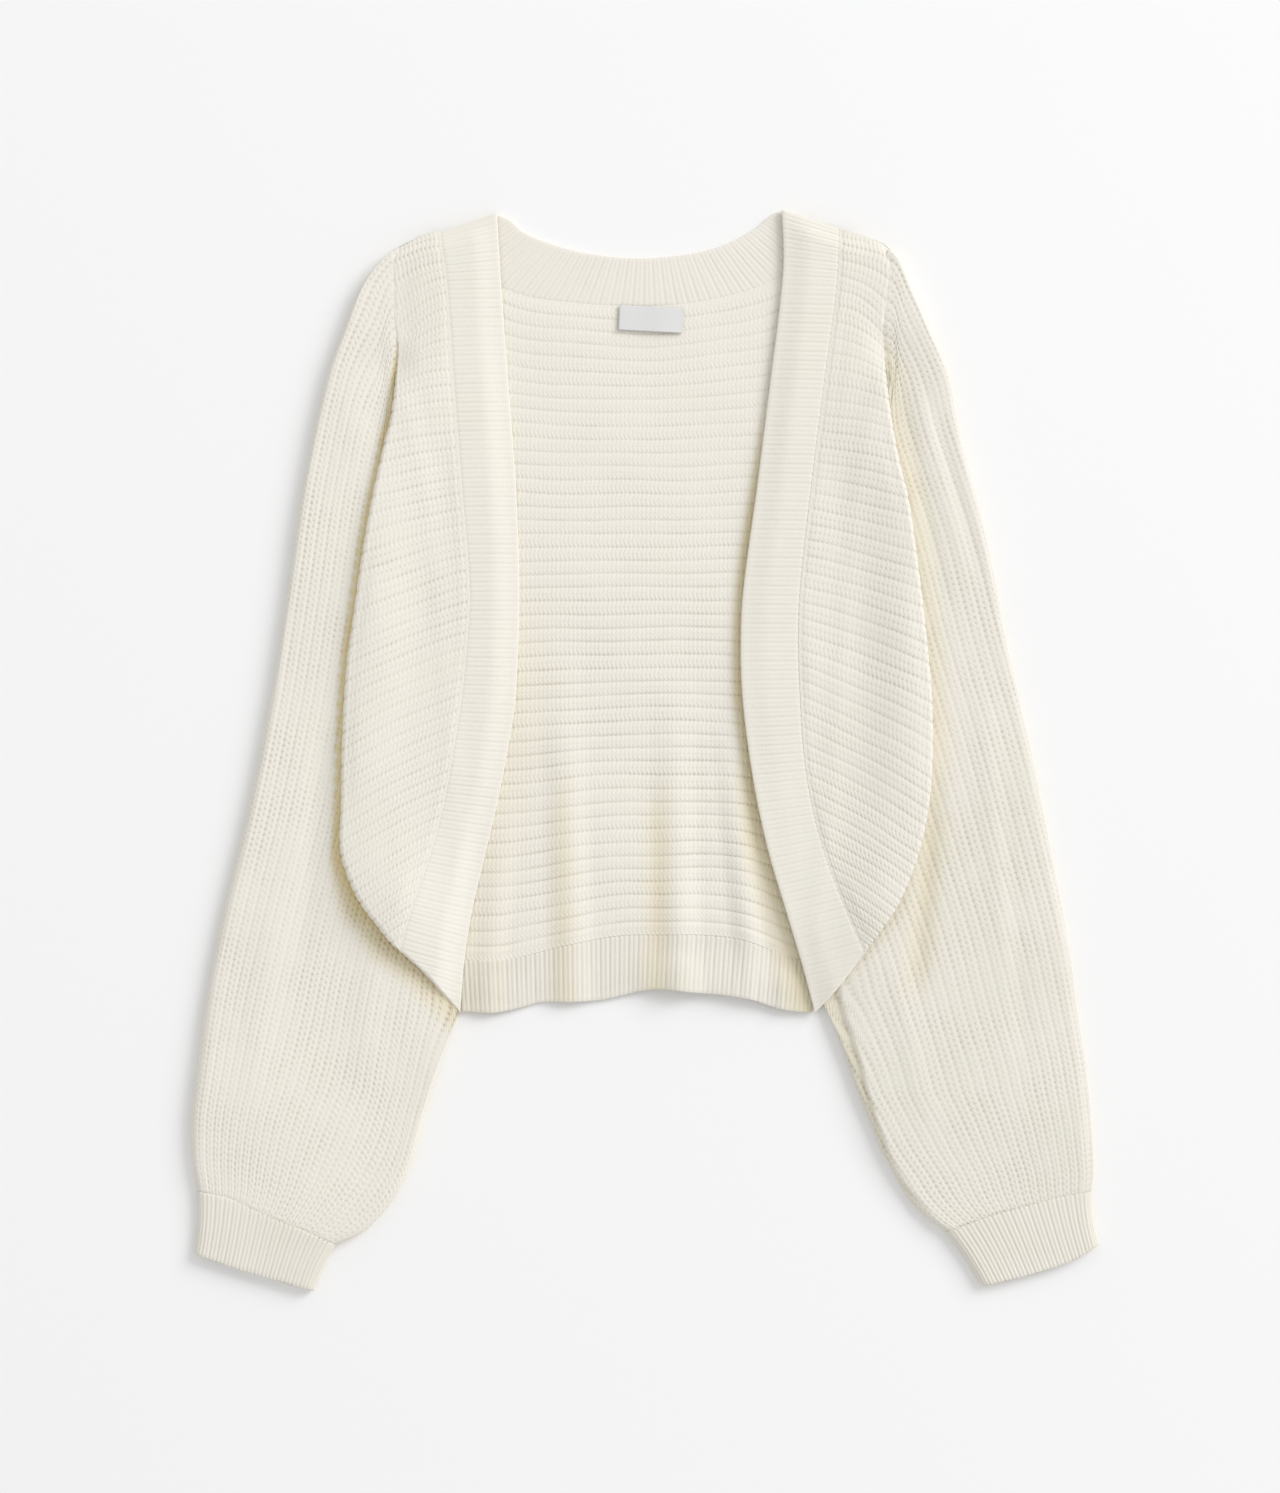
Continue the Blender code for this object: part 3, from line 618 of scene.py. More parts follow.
backRelief = {"Rib Depth": 0.18, "Groove Depth": 0.28, "Middle Depth": 0.06, "Hole Depth": 0.20,
              "Middle Hole": 0.10, "Strand Height": 0.05, "Sharpness": 16.0, "Half Drop": 0.0}
backLook = {"sharp": 16.0, "groove": 0.16, "middle": 0.04, "hole": 0.22, "middleHole": 0.14,
            "broad": 0.03, "strand": 0.14, "bump": 1.2, "halfDrop": 0.0}
hemDepth = 130.0
hemRise = (-108, -134)        # heights between which the hem's waves grow
hemWaves = [(-104, 0.6), (-86, 1.8), (-62, 0.3), (-48, 1.2), (-30, 0.3), (-8, 1.5), (6, 4.6), (18, 5.4),
            (34, 3.2), (50, 4.4), (62, 1.2), (76, 3.4), (93, 0.8)]
# soft upright folds of the back and hem: x at the top, x at the hem, top end, width, height
backFolds = [
    (-49, -41, 90, 15, 2.3),
    (14, 19, 70, 15, 2.6),
    (42, 60, 60, 12, 2.5),
    (-76, -88, 0, 12, 1.2),
]
# where the folds are in shade: x and y of both ends, width, strength
backStreaks = [(-47, 10, -45, -190, 7, 0.26), (8, 0, 5, -190, 7, 0.34), (-83, -60, -83, -190, 4, 0.1)]


def foldLift(x, y):
    lift = np.zeros(np.broadcast(x, y).shape)
    for topX, hemX, topY, width, height in backFolds:
        t = (topY - y) / (topY + hemDepth)
        away = np.abs(x - mix(topX, hemX, np.minimum(t, 1.0))) / width
        lift += np.where((t > 0) & (away < 1),
                         height * smooth(t * 1.3) * (0.5 + 0.5 * np.cos(math.pi * np.minimum(away, 1))),
                         0)
    return lift


def hemLift(x, y):
    # the hem's free edge stands off the table here and there
    heights = np.interp(x, *np.array(hemWaves).T)
    return foldLift(x, y) + heights * ramp(y, *hemRise)


def backEdges(y):
    b = backSettings
    down = (b["shoulderY"] - y) / (b["shoulderY"] - b["cornerY"])
    return (mix(shapes["left"]["armhole"][0][0], b["left"], down),
            mix(shapes["right"]["armhole"][0][0], b["right"], down))


topMid, lowMid = float(neckLine.yAt(0.0)), float(hemLine.yAt(0.0))


def backPlace(v, t):

    def topY(x):
        return np.where(x < neckSeam[0][0], lines["left"]["shoulder"].yAt(x),
                        np.where(x > neckSeam[-1][0], lines["right"]["shoulder"].yAt(x), neckLine.yAt(x)))

    y = mix(topMid, lowMid, v) + 0 * t
    for _ in range(4):
        a, b = backEdges(y)
        x = mix(a, b, t)
        y = mix(topMid, lowMid, v) + (topY(x) - topMid) * (1 - v) ** 5 + (hemLine.yAt(x) - lowMid) * v ** 3
    return x, y


def backShade(x, y):
    b = backSettings
    reach = np.interp(y, b["shadeHeight"], b["shadeReach"])
    near = ramp(lines["right"]["free"].xAt(y) - x, reach, 0.5) * ramp(y, *b["shadeFrom"])
    shade = np.interp(y, b["shadeHeight"], b["shadeAmount"]) * near
    faint = ramp(x - lines["left"]["free"].xAt(y), *b["leftReach"]) * ramp(y, *b["leftFrom"])
    return np.maximum(np.maximum(shade, b["leftShade"] * faint), creaseLift(backStreaks, x, y))


def makeBack():
    b = backSettings
    ribs = round((topMid - lowMid) / b["pitch"])
    v = (ribRows(ribs, b["ribPattern"]) / ribs)[:, None]
    y = mix(topMid, lowMid, v)
    a, c = backEdges(y)
    first = np.clip((lines["left"]["free"].xAt(y) - b["margin"] - a) / (c - a), 0.005, 1)
    last = np.clip((lines["right"]["free"].xAt(y) + b["margin"] - a) / (c - a), 0, 0.995)
    edge = np.linspace(0, 1, b["hiddenColumns"])[None, :]
    t = beside(edge[:, :-1] * first, mix(first, last, np.linspace(0, 1, b["columns"])[None, :]),
               mix(last, 1.0, edge[:, 1:]))
    x, y = backPlace(v, t)
    lift = foldLift(x, y)
    top = layers["wall"] + layers["rib"]
    inside = ramp(v, 0, 0.03) * ramp(v, 1, 0.97)
    strength = ramp(v, 0, 0.012) * ramp(v, 1, 0.99) * mix(b["upperRelief"], 1.0, ramp(y, *b["reliefFrom"]))
    stitches = x / b["stitch"]
    shade = backShade(x, y)
    y = y + b["wander"] * inside * wander(x, y, 1.0, 34.0)
    lift = lift + b["swell"] * inside * wander(x, y, 4.0, 60.0)
    lift = lift - b["seamStep"] * (1 - ramp(v, 0, 0.014) * ramp(v, 1, 0.986))
    grid = {"points": together(x, y, top + lift), "outward": straightUp(x),
            "knit": together(v * ribs, stitches, strength + 0 * x), "shade": shade + 0 * x}
    low = np.linspace(0, 1, b["underRows"])[:, None]
    across = np.linspace(0, 1, b["underColumns"])[None, :]
    x, y = backPlace(low, across)
    under = {"points": together(x, y, foldLift(x, y)),
             "knit": together(low * ribs, x / b["stitch"], 0 * x)}
    return makeShell("backPanel", [grid, under], sheetJoins)


backPanel = finishKnit(makeBack(), backRelief, makeKnitMaterial("back_knit", creamYarn["cream"], backLook))
report("back")


# sleeves

sleeveSettings = {
    "stitch": 3.4,
    "rows": 560,
    "ribPattern": {"left": (0, 0.12, 0.38, 0.5, 0.62, 0.88),
                   "right": (0, 1 / 6, 2 / 6, 3 / 6, 4 / 6, 5 / 6)},
    "ribs": {"left": 24, "right": 22},
    "width": 140.8,           # across the flat tube where it is widest
    "underarmY": -190.0,
    "rampToSeam": 60.0,
    "gatherFrom": 0.7,
    "sideRound": 7.0,
    "innerRows": 40,
    "dips": (0.8, 6.0, 0.5, 2.5),           # depth and reach of the dip at the armhole, and at the cuff
    # painted shade where the front shades the sleeve, a yellowish darkening: height, how far it reaches,
    # how strong it is
    "shade": {"left": [(-146, 17, 0.5), (-115, 20, 0.75), (-90, 17, 1.0), (-70, 11, 1.0), (-50, 6.0, 0.85),
                       (100, 5.0, 0.85), (212, 4.2, 0.75), (226, 3.0, 0.3), (236, 3.0, 0.0)],
              "right": [(-146, 2, 0.0), (-118, 6, 0.12), (-90, 12, 0.2), (-50, 16, 0.26), (110, 16, 0.3),
                        (150, 18, 0.32), (215, 18, 0.26), (235, 10, 0.0)]},
    "shadeEdge": {"left": 0.5, "right": 1.0},     # share of the reach over which it fades
    "shadeDots": 1.1,         # how much bolder the stitches are in the wide shade
    # painted shade along a crease: x and y of both ends, width, strength
    "streaks": {"left": [], "right": [(164, -10, 149, -150, 8, 0.36)]},
    # how much grey painted shade darkens the outer rim below the shoulder
    "rim": {"left": 0.0, "right": 0.45},
    "strip": 2.0,             # how far the narrow strip outside the step lies lower
    "lean": {"left": 0.0, "right": 0.12},   # how far the ribs run across on their way down
    "bulge": 14.0,            # ribs leave the armhole crossways and bend down
    "bulgeOver": 28.0,
    "unevenness": (0.35, 70.0),             # height and size of the handled cloth's waves
    "pressRamp": 22,          # the sleeve is pressed flat below the pleat over this length
    "pastFront": (-135, -185),              # and full again past the front's lower corner
    "fullFrom": 32,           # from the armhole out, it is as thick as it gets here
    "toCuff": (-200, -252),
    "leanFade": (0.4, -80, -220),           # share that is left of the lean, and from where to where
    "tuck": 2.0,              # begins a little under the front above the pleat
    "lap": 0.5,               # runs on a little over the cuff
    "flat": {"left": (0.300, 0.560), "right": (0.300, 0.560)},
    "area": {"left": 0.122, "right": 0.120},
}
sleeveRelief = {"Rib Depth": 0.10, "Groove Depth": 0.19, "Middle Depth": 0.15, "Hole Depth": 0.26,
                "Middle Hole": 0.24, "Strand Height": 0.05, "Sharpness": 8.0, "Half Drop": 1.0}
sleeveLook = {"sharp": 9.0, "groove": 0.09, "middle": 0.05, "hole": 0.32, "middleHole": 0.30,
              "broad": 0.02, "strand": 0.10, "bump": 1.2, "halfDrop": 1.0}
frontPitch = 8.7
# share of a sleeve's ribs, and the height at which that rib leaves the armhole below the pleat
ribStart = {
    "left": [(0.345, 197), (0.475, 140), (0.67, 28), (0.905, -83), (1, -146.3)],
    "right": [(0.355, 197), (0.48, 140), (0.67, 28), (0.905, -83), (1, -137)],
}
for side, rows in ribStart.items():
    # above the pleat every rib of the front runs on into the sleeve
    table = np.array(shapes[side]["ribFall"], float)[::-1]
    seam = lines[side]["seam"]
    count = round(seam.length / frontPitch)
    starts = []
    for rib in range(7):
        leaves = seam.at(np.array([rib / count]))[0, 1]
        starts.append((rib / sleeveSettings["ribs"][side],
                       float(np.interp(leaves, table[:, 0], table[:, 1]))))
    rows[:0] = starts
# x and y of both ends, width, height
sleeveCreases = {
    "left": [
        (-178, 30, -196, -150, 7, -0.9),
        (-150, -60, -158, -200, 9, 0.8),
        (-205, -60, -222, -215, 8, 0.7),
        (-190, 190, -206, 20, 5, -0.6),
    ],
    "right": [
        (139, 212, 172, 62, 4.0, -0.8),
        (146, 220, 184, 84, 4.5, 0.6),
        (152, 222, 192, 76, 4.0, -0.6),
        (160, 220, 202, 66, 5.0, 0.4),
        (163, 0, 149, -150, 6, -1.3),
        (185, 60, 206, -150, 7, 0.8),
        (136, -110, 160, -220, 7, 0.7),
        (196, 10, 214, -200, 6, -0.7),
    ],
}


def sleeveHeight(side, x, y):
    shape = shapes[side]
    s = sleeveSettings
    flush = ramp(y, shape["pleatStart"] - s["pressRamp"], shape["pleatStart"])
    past = ramp(y, *s["pastFront"])
    near = mix(layers["sleevePressed"], layers["sleeveFull"], np.maximum(flush, past))
    out = shape["sign"] * (x - lines[side]["armhole"].xAt(y))
    full = mix(near, layers["sleeveFull"], ramp(out, 0, s["fullFrom"]))
    return mix(full, layers["cuffFull"], ramp(y, *s["toCuff"]))


def sleeveCrease(side, x, y):
    height, size = sleeveSettings["unevenness"]
    return creaseLift(sleeveCreases[side], x, y) + height * wander(x, y, 7.0, size)


def foldedStrip(side, x, y):
    # along the right underarm the sleeve folds over, and a narrow strip beside it lies lower
    if "step" not in lines[side]:
        return 0 * x
    outside = lines[side]["step"].xAt(y) - x
    length = ramp(y, -122, -134) * ramp(y, -266, -240)
    groove = 0.7 * np.exp(-(outside / 0.9) ** 2)
    return -length * (sleeveSettings["strip"] * ramp(outside, -0.7, 0.9) + groove)


def sleevePlace(side, f, d, low):
    # place at fraction f down a rib and fraction d across the sleeve from its outer edge
    line = lines[side]
    s = sleeveSettings
    first, last = line["armhole"].points[0], line["armhole"].points[-1]
    startY = np.minimum(np.interp(d, *np.array(ribStart[side]).T), first[1])
    end = line["cuffSeam"].at(d)
    end = end + s["lap"] * unit(line["cuffEnd"].at(d) - end)
    y = mix(startY, end[..., 1], f)
    full = -shapes[side]["sign"] * s["width"]

    def plainX(atY):  # before the ribs are led to armhole and cuff
        outerX = line["contour"].xAt(atY)
        lowY = np.minimum(atY, s["underarmY"])
        width = mix(full, line["inner"].xAt(lowY) - line["contour"].xAt(lowY),
                    ramp(atY, -20, s["underarmY"]))
        near = ramp(atY, -110, last[1])
        return outerX + d * width + near * d ** 9 * (line["inner"].xAt(atY) - outerX - width)

    if low:
        startX = mix(first[0], last[0], (first[1] - startY) / (first[1] - last[1]))
    else:
        startX = line["armhole"].xAt(startY)
    begin = (startX - plainX(startY)) * (1 - ramp(startY - y, 0, s["rampToSeam"]))
    fallen = np.clip((startY - y) / s["bulgeOver"], 0, 1)
    most = np.minimum(s["bulge"], 0.7 * d * s["width"]) * ramp(startY, 200, 235)
    sign = shapes[side]["sign"]
    begin = begin + sign * most * np.sqrt(fallen) * (1 - fallen) ** 2
    if not low:
        pleat = shapes[side]["pleatStart"]
        tuck = s["tuck"] * ramp(startY, pleat - 30, pleat - 10)
        begin = begin - sign * 0.8 * tuck * (1 - ramp(startY - y, 0, 4)) * ramp(d, 0, 0.03)
    finish = (end[..., 0] - plainX(end[..., 1])) * ramp(f, s["gatherFrom"], 1)
    return plainX(y) + begin + finish, y


def tubeGrids(place, height, ribs, pattern, sideRound, stitch, ribHeight, creases, steps, innerRows,
              shadeAt, lean, dips):
    # outer and inner walls of a flattened tube; place(d, low) gives x and y for all rows
    wall = layers["wall"]
    ax, ay = place(np.array([[0.0]]), False)
    bx, by = place(np.array([[1.0]]), False)
    across = np.hypot(ax - bx, ay - by)
    fine = ribRows(ribs, pattern) / ribs
    side = np.array([0.02, 0.09, 0.22, 0.45]) / ribs / 1.5
    d = np.sort(np.concatenate([fine, side, 1 - side]))[None, :]
    x, y = place(d, False)
    nextX, nextY = place(np.clip(d + 0.001, 0, 1), False)
    lastX, lastY = place(np.clip(d - 0.001, 0, 1), False)
    run = unit(together(nextX - lastX, nextY - lastY))
    outside = np.where(d < 0.5, -1.0, 1.0)
    inset = np.minimum(d, 1 - d) * across
    bend = 1 - np.minimum(inset / sideRound, 1)
    tall = height(x, y)
    rise = np.sqrt(np.maximum(1 - bend ** 2, 0))
    legs = np.hypot(np.diff(x, axis=0), np.diff(y, axis=0))
    down = np.vstack([np.zeros((1, x.shape[1])), np.cumsum(legs, axis=0)])
    z = tall * (0.5 + 0.5 * rise) + creases(x, y) * (1 - bend) ** 2 + steps(x, y) * rise
    z = z - dips[0] * ramp(down, dips[1], 0) - dips[2] * ramp(down[-1:] - down, dips[3], 0)
    tip = bend / sideRound * outside
    outward = unit(together(run[..., 0] * tip, run[..., 1] * tip, rise / (tall / 2)))
    s = (down[-1:] - down) / stitch
    arc = (np.arcsin(bend) * sideRound * 1.05 - bend * sideRound) / (across / ribs)
    least, start, end = sleeveSettings["leanFade"]
    steepness = lean * mix(1.0, least, ramp(y[:, :1], start, end)) / (np.mean(across) / ribs)
    turned = np.vstack([[[0.0]], np.cumsum(legs[:, :1] * steepness[1:], axis=0)])
    shade = shadeAt(x, y)
    bold = 1 + sleeveSettings["shadeDots"] * np.clip(shade, 0, 1) * ramp(y, -78, -100)
    knit = together(d * ribs + arc * outside + turned * (1 - 0.4 * d), s, bold)
    corner = np.array([0.3, 1.0, 2.2, 4.0]) / np.mean(across)
    middle = np.linspace(corner[-1], 1 - corner[-1], 10)[1:-1]
    under = np.concatenate([corner, middle, 1 - corner[::-1]])[::-1][None, :]
    shares = np.concatenate([[0.30, 0.13, 0.03, 0.0], 0 * middle, [0.0, 0.03, 0.13, 0.30]])[None, :]
    ux, uy = place(under, True)
    uz = shares * height(ux, uy)
    underKnit = together(2 * ribs - under * ribs + turned * (0.2 + 0.4 * under),
                         s[:, -1:] * (1 - under) + s[:, :1] * under, 0 * ux)
    # the underside gets painted shade
    outer = {
        "points": beside(together(x, y, z), together(ux, uy, uz)),
        "outward": beside(outward, -straightUp(ux)),
        "shade": beside(shade, 0.5 + 0 * ux),
        "knit": beside(knit, underKnit),
    }
    rim = wall * 1.25 / np.mean(across)
    tops = mix(2 * rim, 1 - 2 * rim, np.linspace(0, 1, 9) ** 1.4)
    pick = np.linspace(0, x.shape[0] - 1, innerRows).round().astype(int)
    parts = []
    for at, low, rule in (([rim], False, 1), (tops, False, 0), ([1 - rim], False, 1),
                          (np.linspace(1 - 2 * rim, 2 * rim, 8), True, 2)):
        ix, iy = place(np.array(at)[None, :], low)
        tall = height(ix, iy)
        iz = (tall - ribHeight - wall, 0.5 * (tall - ribHeight), wall + 0 * tall)[rule]
        parts.append(together(ix, iy, iz)[pick])
    inner = beside(*parts)
    ix, iy = xy(inner)
    return outer, {"points": inner, "knit": together(ix / 6.0, iy / stitch, 0 * ix)}


def makeSleeve(side):
    s = sleeveSettings
    t = np.linspace(0, 1, s["rows"])
    f = mix(t ** 1.15, smooth(t), 0.12)[:, None]

    def place(d, low):
        return sleevePlace(side, f, d, low)

    edge = np.vstack([lines[side]["fold"].points[::3], lines[side]["lower"].points[::3]])
    outer = lines[side]["contour"]
    heights, reaches, amounts = np.array(s["shade"][side]).T

    def shadeAt(x, y):
        reach = np.interp(y, heights, reaches)
        soft = mix(1.0, s["shadeEdge"][side], ramp(y, -85, -50))
        near = ramp(distanceTo(edge, x, y), reach, reach * (1 - soft) + 0.3)
        # painted shade: yellowish beside the front and along the streaks, over the folded strip, and grey
        # on the outer rim as a negative value
        paintedShadeTint = np.maximum(near * np.interp(y, heights, amounts), creaseLift(s["streaks"][side], x, y))
        rim = s["rim"][side] * ramp(np.abs(outer.xAt(y) - x), 4.5, 0.5) * ramp(y, 264, 225)
        return np.maximum(paintedShadeTint, -0.12 * foldedStrip(side, x, y)) - rim

    grids = tubeGrids(place, lambda x, y: sleeveHeight(side, x, y), s["ribs"][side],
                      s["ribPattern"][side], s["sideRound"], s["stitch"], layers["rib"],
                      lambda x, y: sleeveCrease(side, x, y), lambda x, y: foldedStrip(side, x, y),
                      s["innerRows"], shadeAt, s["lean"][side], s["dips"])
    return makeShell("sleeve" + side.title(), grids, tubeJoins, 2 * s["ribs"][side])


# painted light: the left sleeve's cream is lighter and the right's darker, though both are the same yarn
sleeveCream = {"left": (0.864, 0.832, 0.745), "right": (0.805, 0.777, 0.69)}
sleeves = {}
for side in shapes:
    sleeves[side] = finishKnit(makeSleeve(side), sleeveRelief,
                               makeKnitMaterial("sleeve_knit_" + side, sleeveCream[side], sleeveLook))
report("sleeves")


# cuffs

cuffSettings = {
    "ribs": 16,
    "stitch": 1.9,
    "rows": 36,
    "sideRound": 6.0,
    "innerRows": 10,
    "dips": (0.2, 1.2, 0.5, 1.6),           # depth and reach of the dip at the sleeve, and at the end
    "waist": 1.2,
    "thinning": 0.6,
    "flat": {"left": (0.168, 0.040), "right": (0.172, 0.040)},
}
bandPattern = (0, 0.09, 0.2, 0.3, 0.41, 0.5, 0.59, 0.7, 0.8, 0.91)
bandRelief = {"Rib Depth": 0.04, "Groove Depth": 0.14, "Middle Depth": 0.10, "Hole Depth": 0.04,
              "Middle Hole": 0.04, "Strand Height": 0.015, "Sharpness": 7.0, "Half Drop": 0.0}
bandLook = {"sharp": 10.0, "groove": 0.12, "middle": 0.06, "hole": 0.03, "middleHole": 0.02,
            "broad": 0.0, "strand": 0.03, "bump": 1.0, "halfDrop": 0.0}
endRelief = dict(bandRelief, **{"Groove Depth": 0.34, "Middle Depth": 0.24})   # cuffs and hem are deeper
endLook = dict(bandLook, groove=0.2, middle=0.14)


def makeCuff(side):
    c = cuffSettings
    line = lines[side]
    f = np.linspace(0, 1, c["rows"])[:, None]
    waist = c["waist"] * np.sin(math.pi * f)

    def place(d, low):
        a, b = line["cuffSeam"].at(d), line["cuffEnd"].at(d)
        p = mix(a, b, f[..., None])
        return p[..., 0] - shapes[side]["sign"] * waist * (1 - 2 * d), p[..., 1]

    grids = tubeGrids(place, lambda x, y: layers["cuffFull"] - c["thinning"] * f + 0 * x, c["ribs"],
                      bandPattern, c["sideRound"], c["stitch"], layers["bandRib"], nothing, nothing,
                      c["innerRows"], nothing, 0.0, c["dips"])
    return makeShell("cuff" + side.title(), grids, tubeJoins, 2 * c["ribs"])


cuffCream = (0.80, 0.768, 0.68)
cuffs = {}
for side in shapes:
    cuffs[side] = finishKnit(makeCuff(side), endRelief,
                             makeKnitMaterial("cuff_knit_" + side, cuffCream, endLook))
report("cuffs")


# fronts

frontSettings = {
    "stitch": 2.6,
    "ribPattern": (0, 0.07, 0.2, 0.43, 0.5, 0.57, 0.8, 0.93),
    "columns": 96,
    "roundColumns": 9,        # round the fold
    "foldExtra": 2.3,         # the second layer inside the fold
    "foldDepth": 46.0,
    "foldTaper": 38.0,
    "foldRise": 42.0,
    "foldRound": 2.6,
    "flatRound": 0.15,        # where there is no fold
    "seamShare": 0.997,       # the last rib ends just short of the seam's corner
    "underStep": 4,           # every fourth row goes on underneath
    "seamStep": 0.58,         # sinks to the band's thickness at the seam
    "wander": 0.4,
    "swell": 0.3,
    "lap": 8.0,               # laps over the sleeve where the cloth runs through, and sinks into it
    "sink": 1.1,
    "over": 0.15,
    "scallop": 1.9,           # how much deeper the ribs cut at the fold
    "underShade": 0.6,        # painted shade on the underside
    "flat": {"left": (0.096, 0.405), "right": (0.100, 0.405)},
    "area": {"left": 0.026, "right": 0.027},
}
frontRelief = {"Rib Depth": 0.14, "Groove Depth": 0.15, "Middle Depth": 0.08, "Hole Depth": 0.25,
               "Middle Hole": 0.22, "Strand Height": 0.04, "Sharpness": 14.0, "Half Drop": 0.0}
frontLook = {"sharp": 14.0, "groove": 0.08, "middle": 0.03, "hole": 0.30, "middleHole": 0.26,
             "broad": 0.03, "strand": 0.12, "bump": 1.2, "halfDrop": 0.0}
frontCreases = {
    "left": [(-150, 120, -160, -40, 14, 0.8)],
    "right": [(140, 120, 148, -40, 14, 0.8)],
}
# middle (x, y), reach and height of the lift where the lower corner stands off the sleeve
cornerLift = {"left": (-138, -92, 36, 4.4), "right": (126, -100, 26, 1.2)}
# place up the garment, and how high the free edge of the band lies there
edgeHeight = {
    "left": [(-150, 5.2), (-136, 4.8), (-115, 3.6), (0, 3.4), (200, 3.4), (280, 3.8)],
    "right": [(-150, 3.8), (-125, 5.4), (-90, 6.6), (-30, 6.3), (0, 5.8), (110, 5.0), (190, 4.2),
              (280, 3.9)],
}


def frontUnder(side, x, y):
    shape = shapes[side]
    flush = ramp(y, shape["pleatStart"] - 35, shape["pleatStart"])
    low = mix(layers["frontUnder"], layers["frontFlush"], flush)
    over = sleeveHeight(side, x, y) + layers["clear"]
    reach = shape["sign"] * (x - lines[side]["armhole"].xAt(y))
    over = mix(low, over, ramp(reach, -16, -2) * (1 - flush))
    height = softMax(low, over, 0.6)
    cx, cy, reach, lift = cornerLift[side]
    height = height + lift * np.exp(-((x - cx) ** 2 + (y - cy) ** 2) / reach ** 2)
    toShoulder = lines[side]["shoulder"].yAt(x) - y
    return mix(layers["frontShoulder"], height, ramp(toShoulder, -1, 12))


def bandUnder(side, x, y):
    # the free edge comes down toward the back
    low = np.interp(y, *np.array(edgeHeight[side]).T)
    inset = shapes[side]["sign"] * (x - lines[side]["free"].xAt(y))
    return mix(low, frontUnder(side, x, y), ramp(inset, 0, 16)) + foldLift(x, y) * ramp(inset, 20, 6)


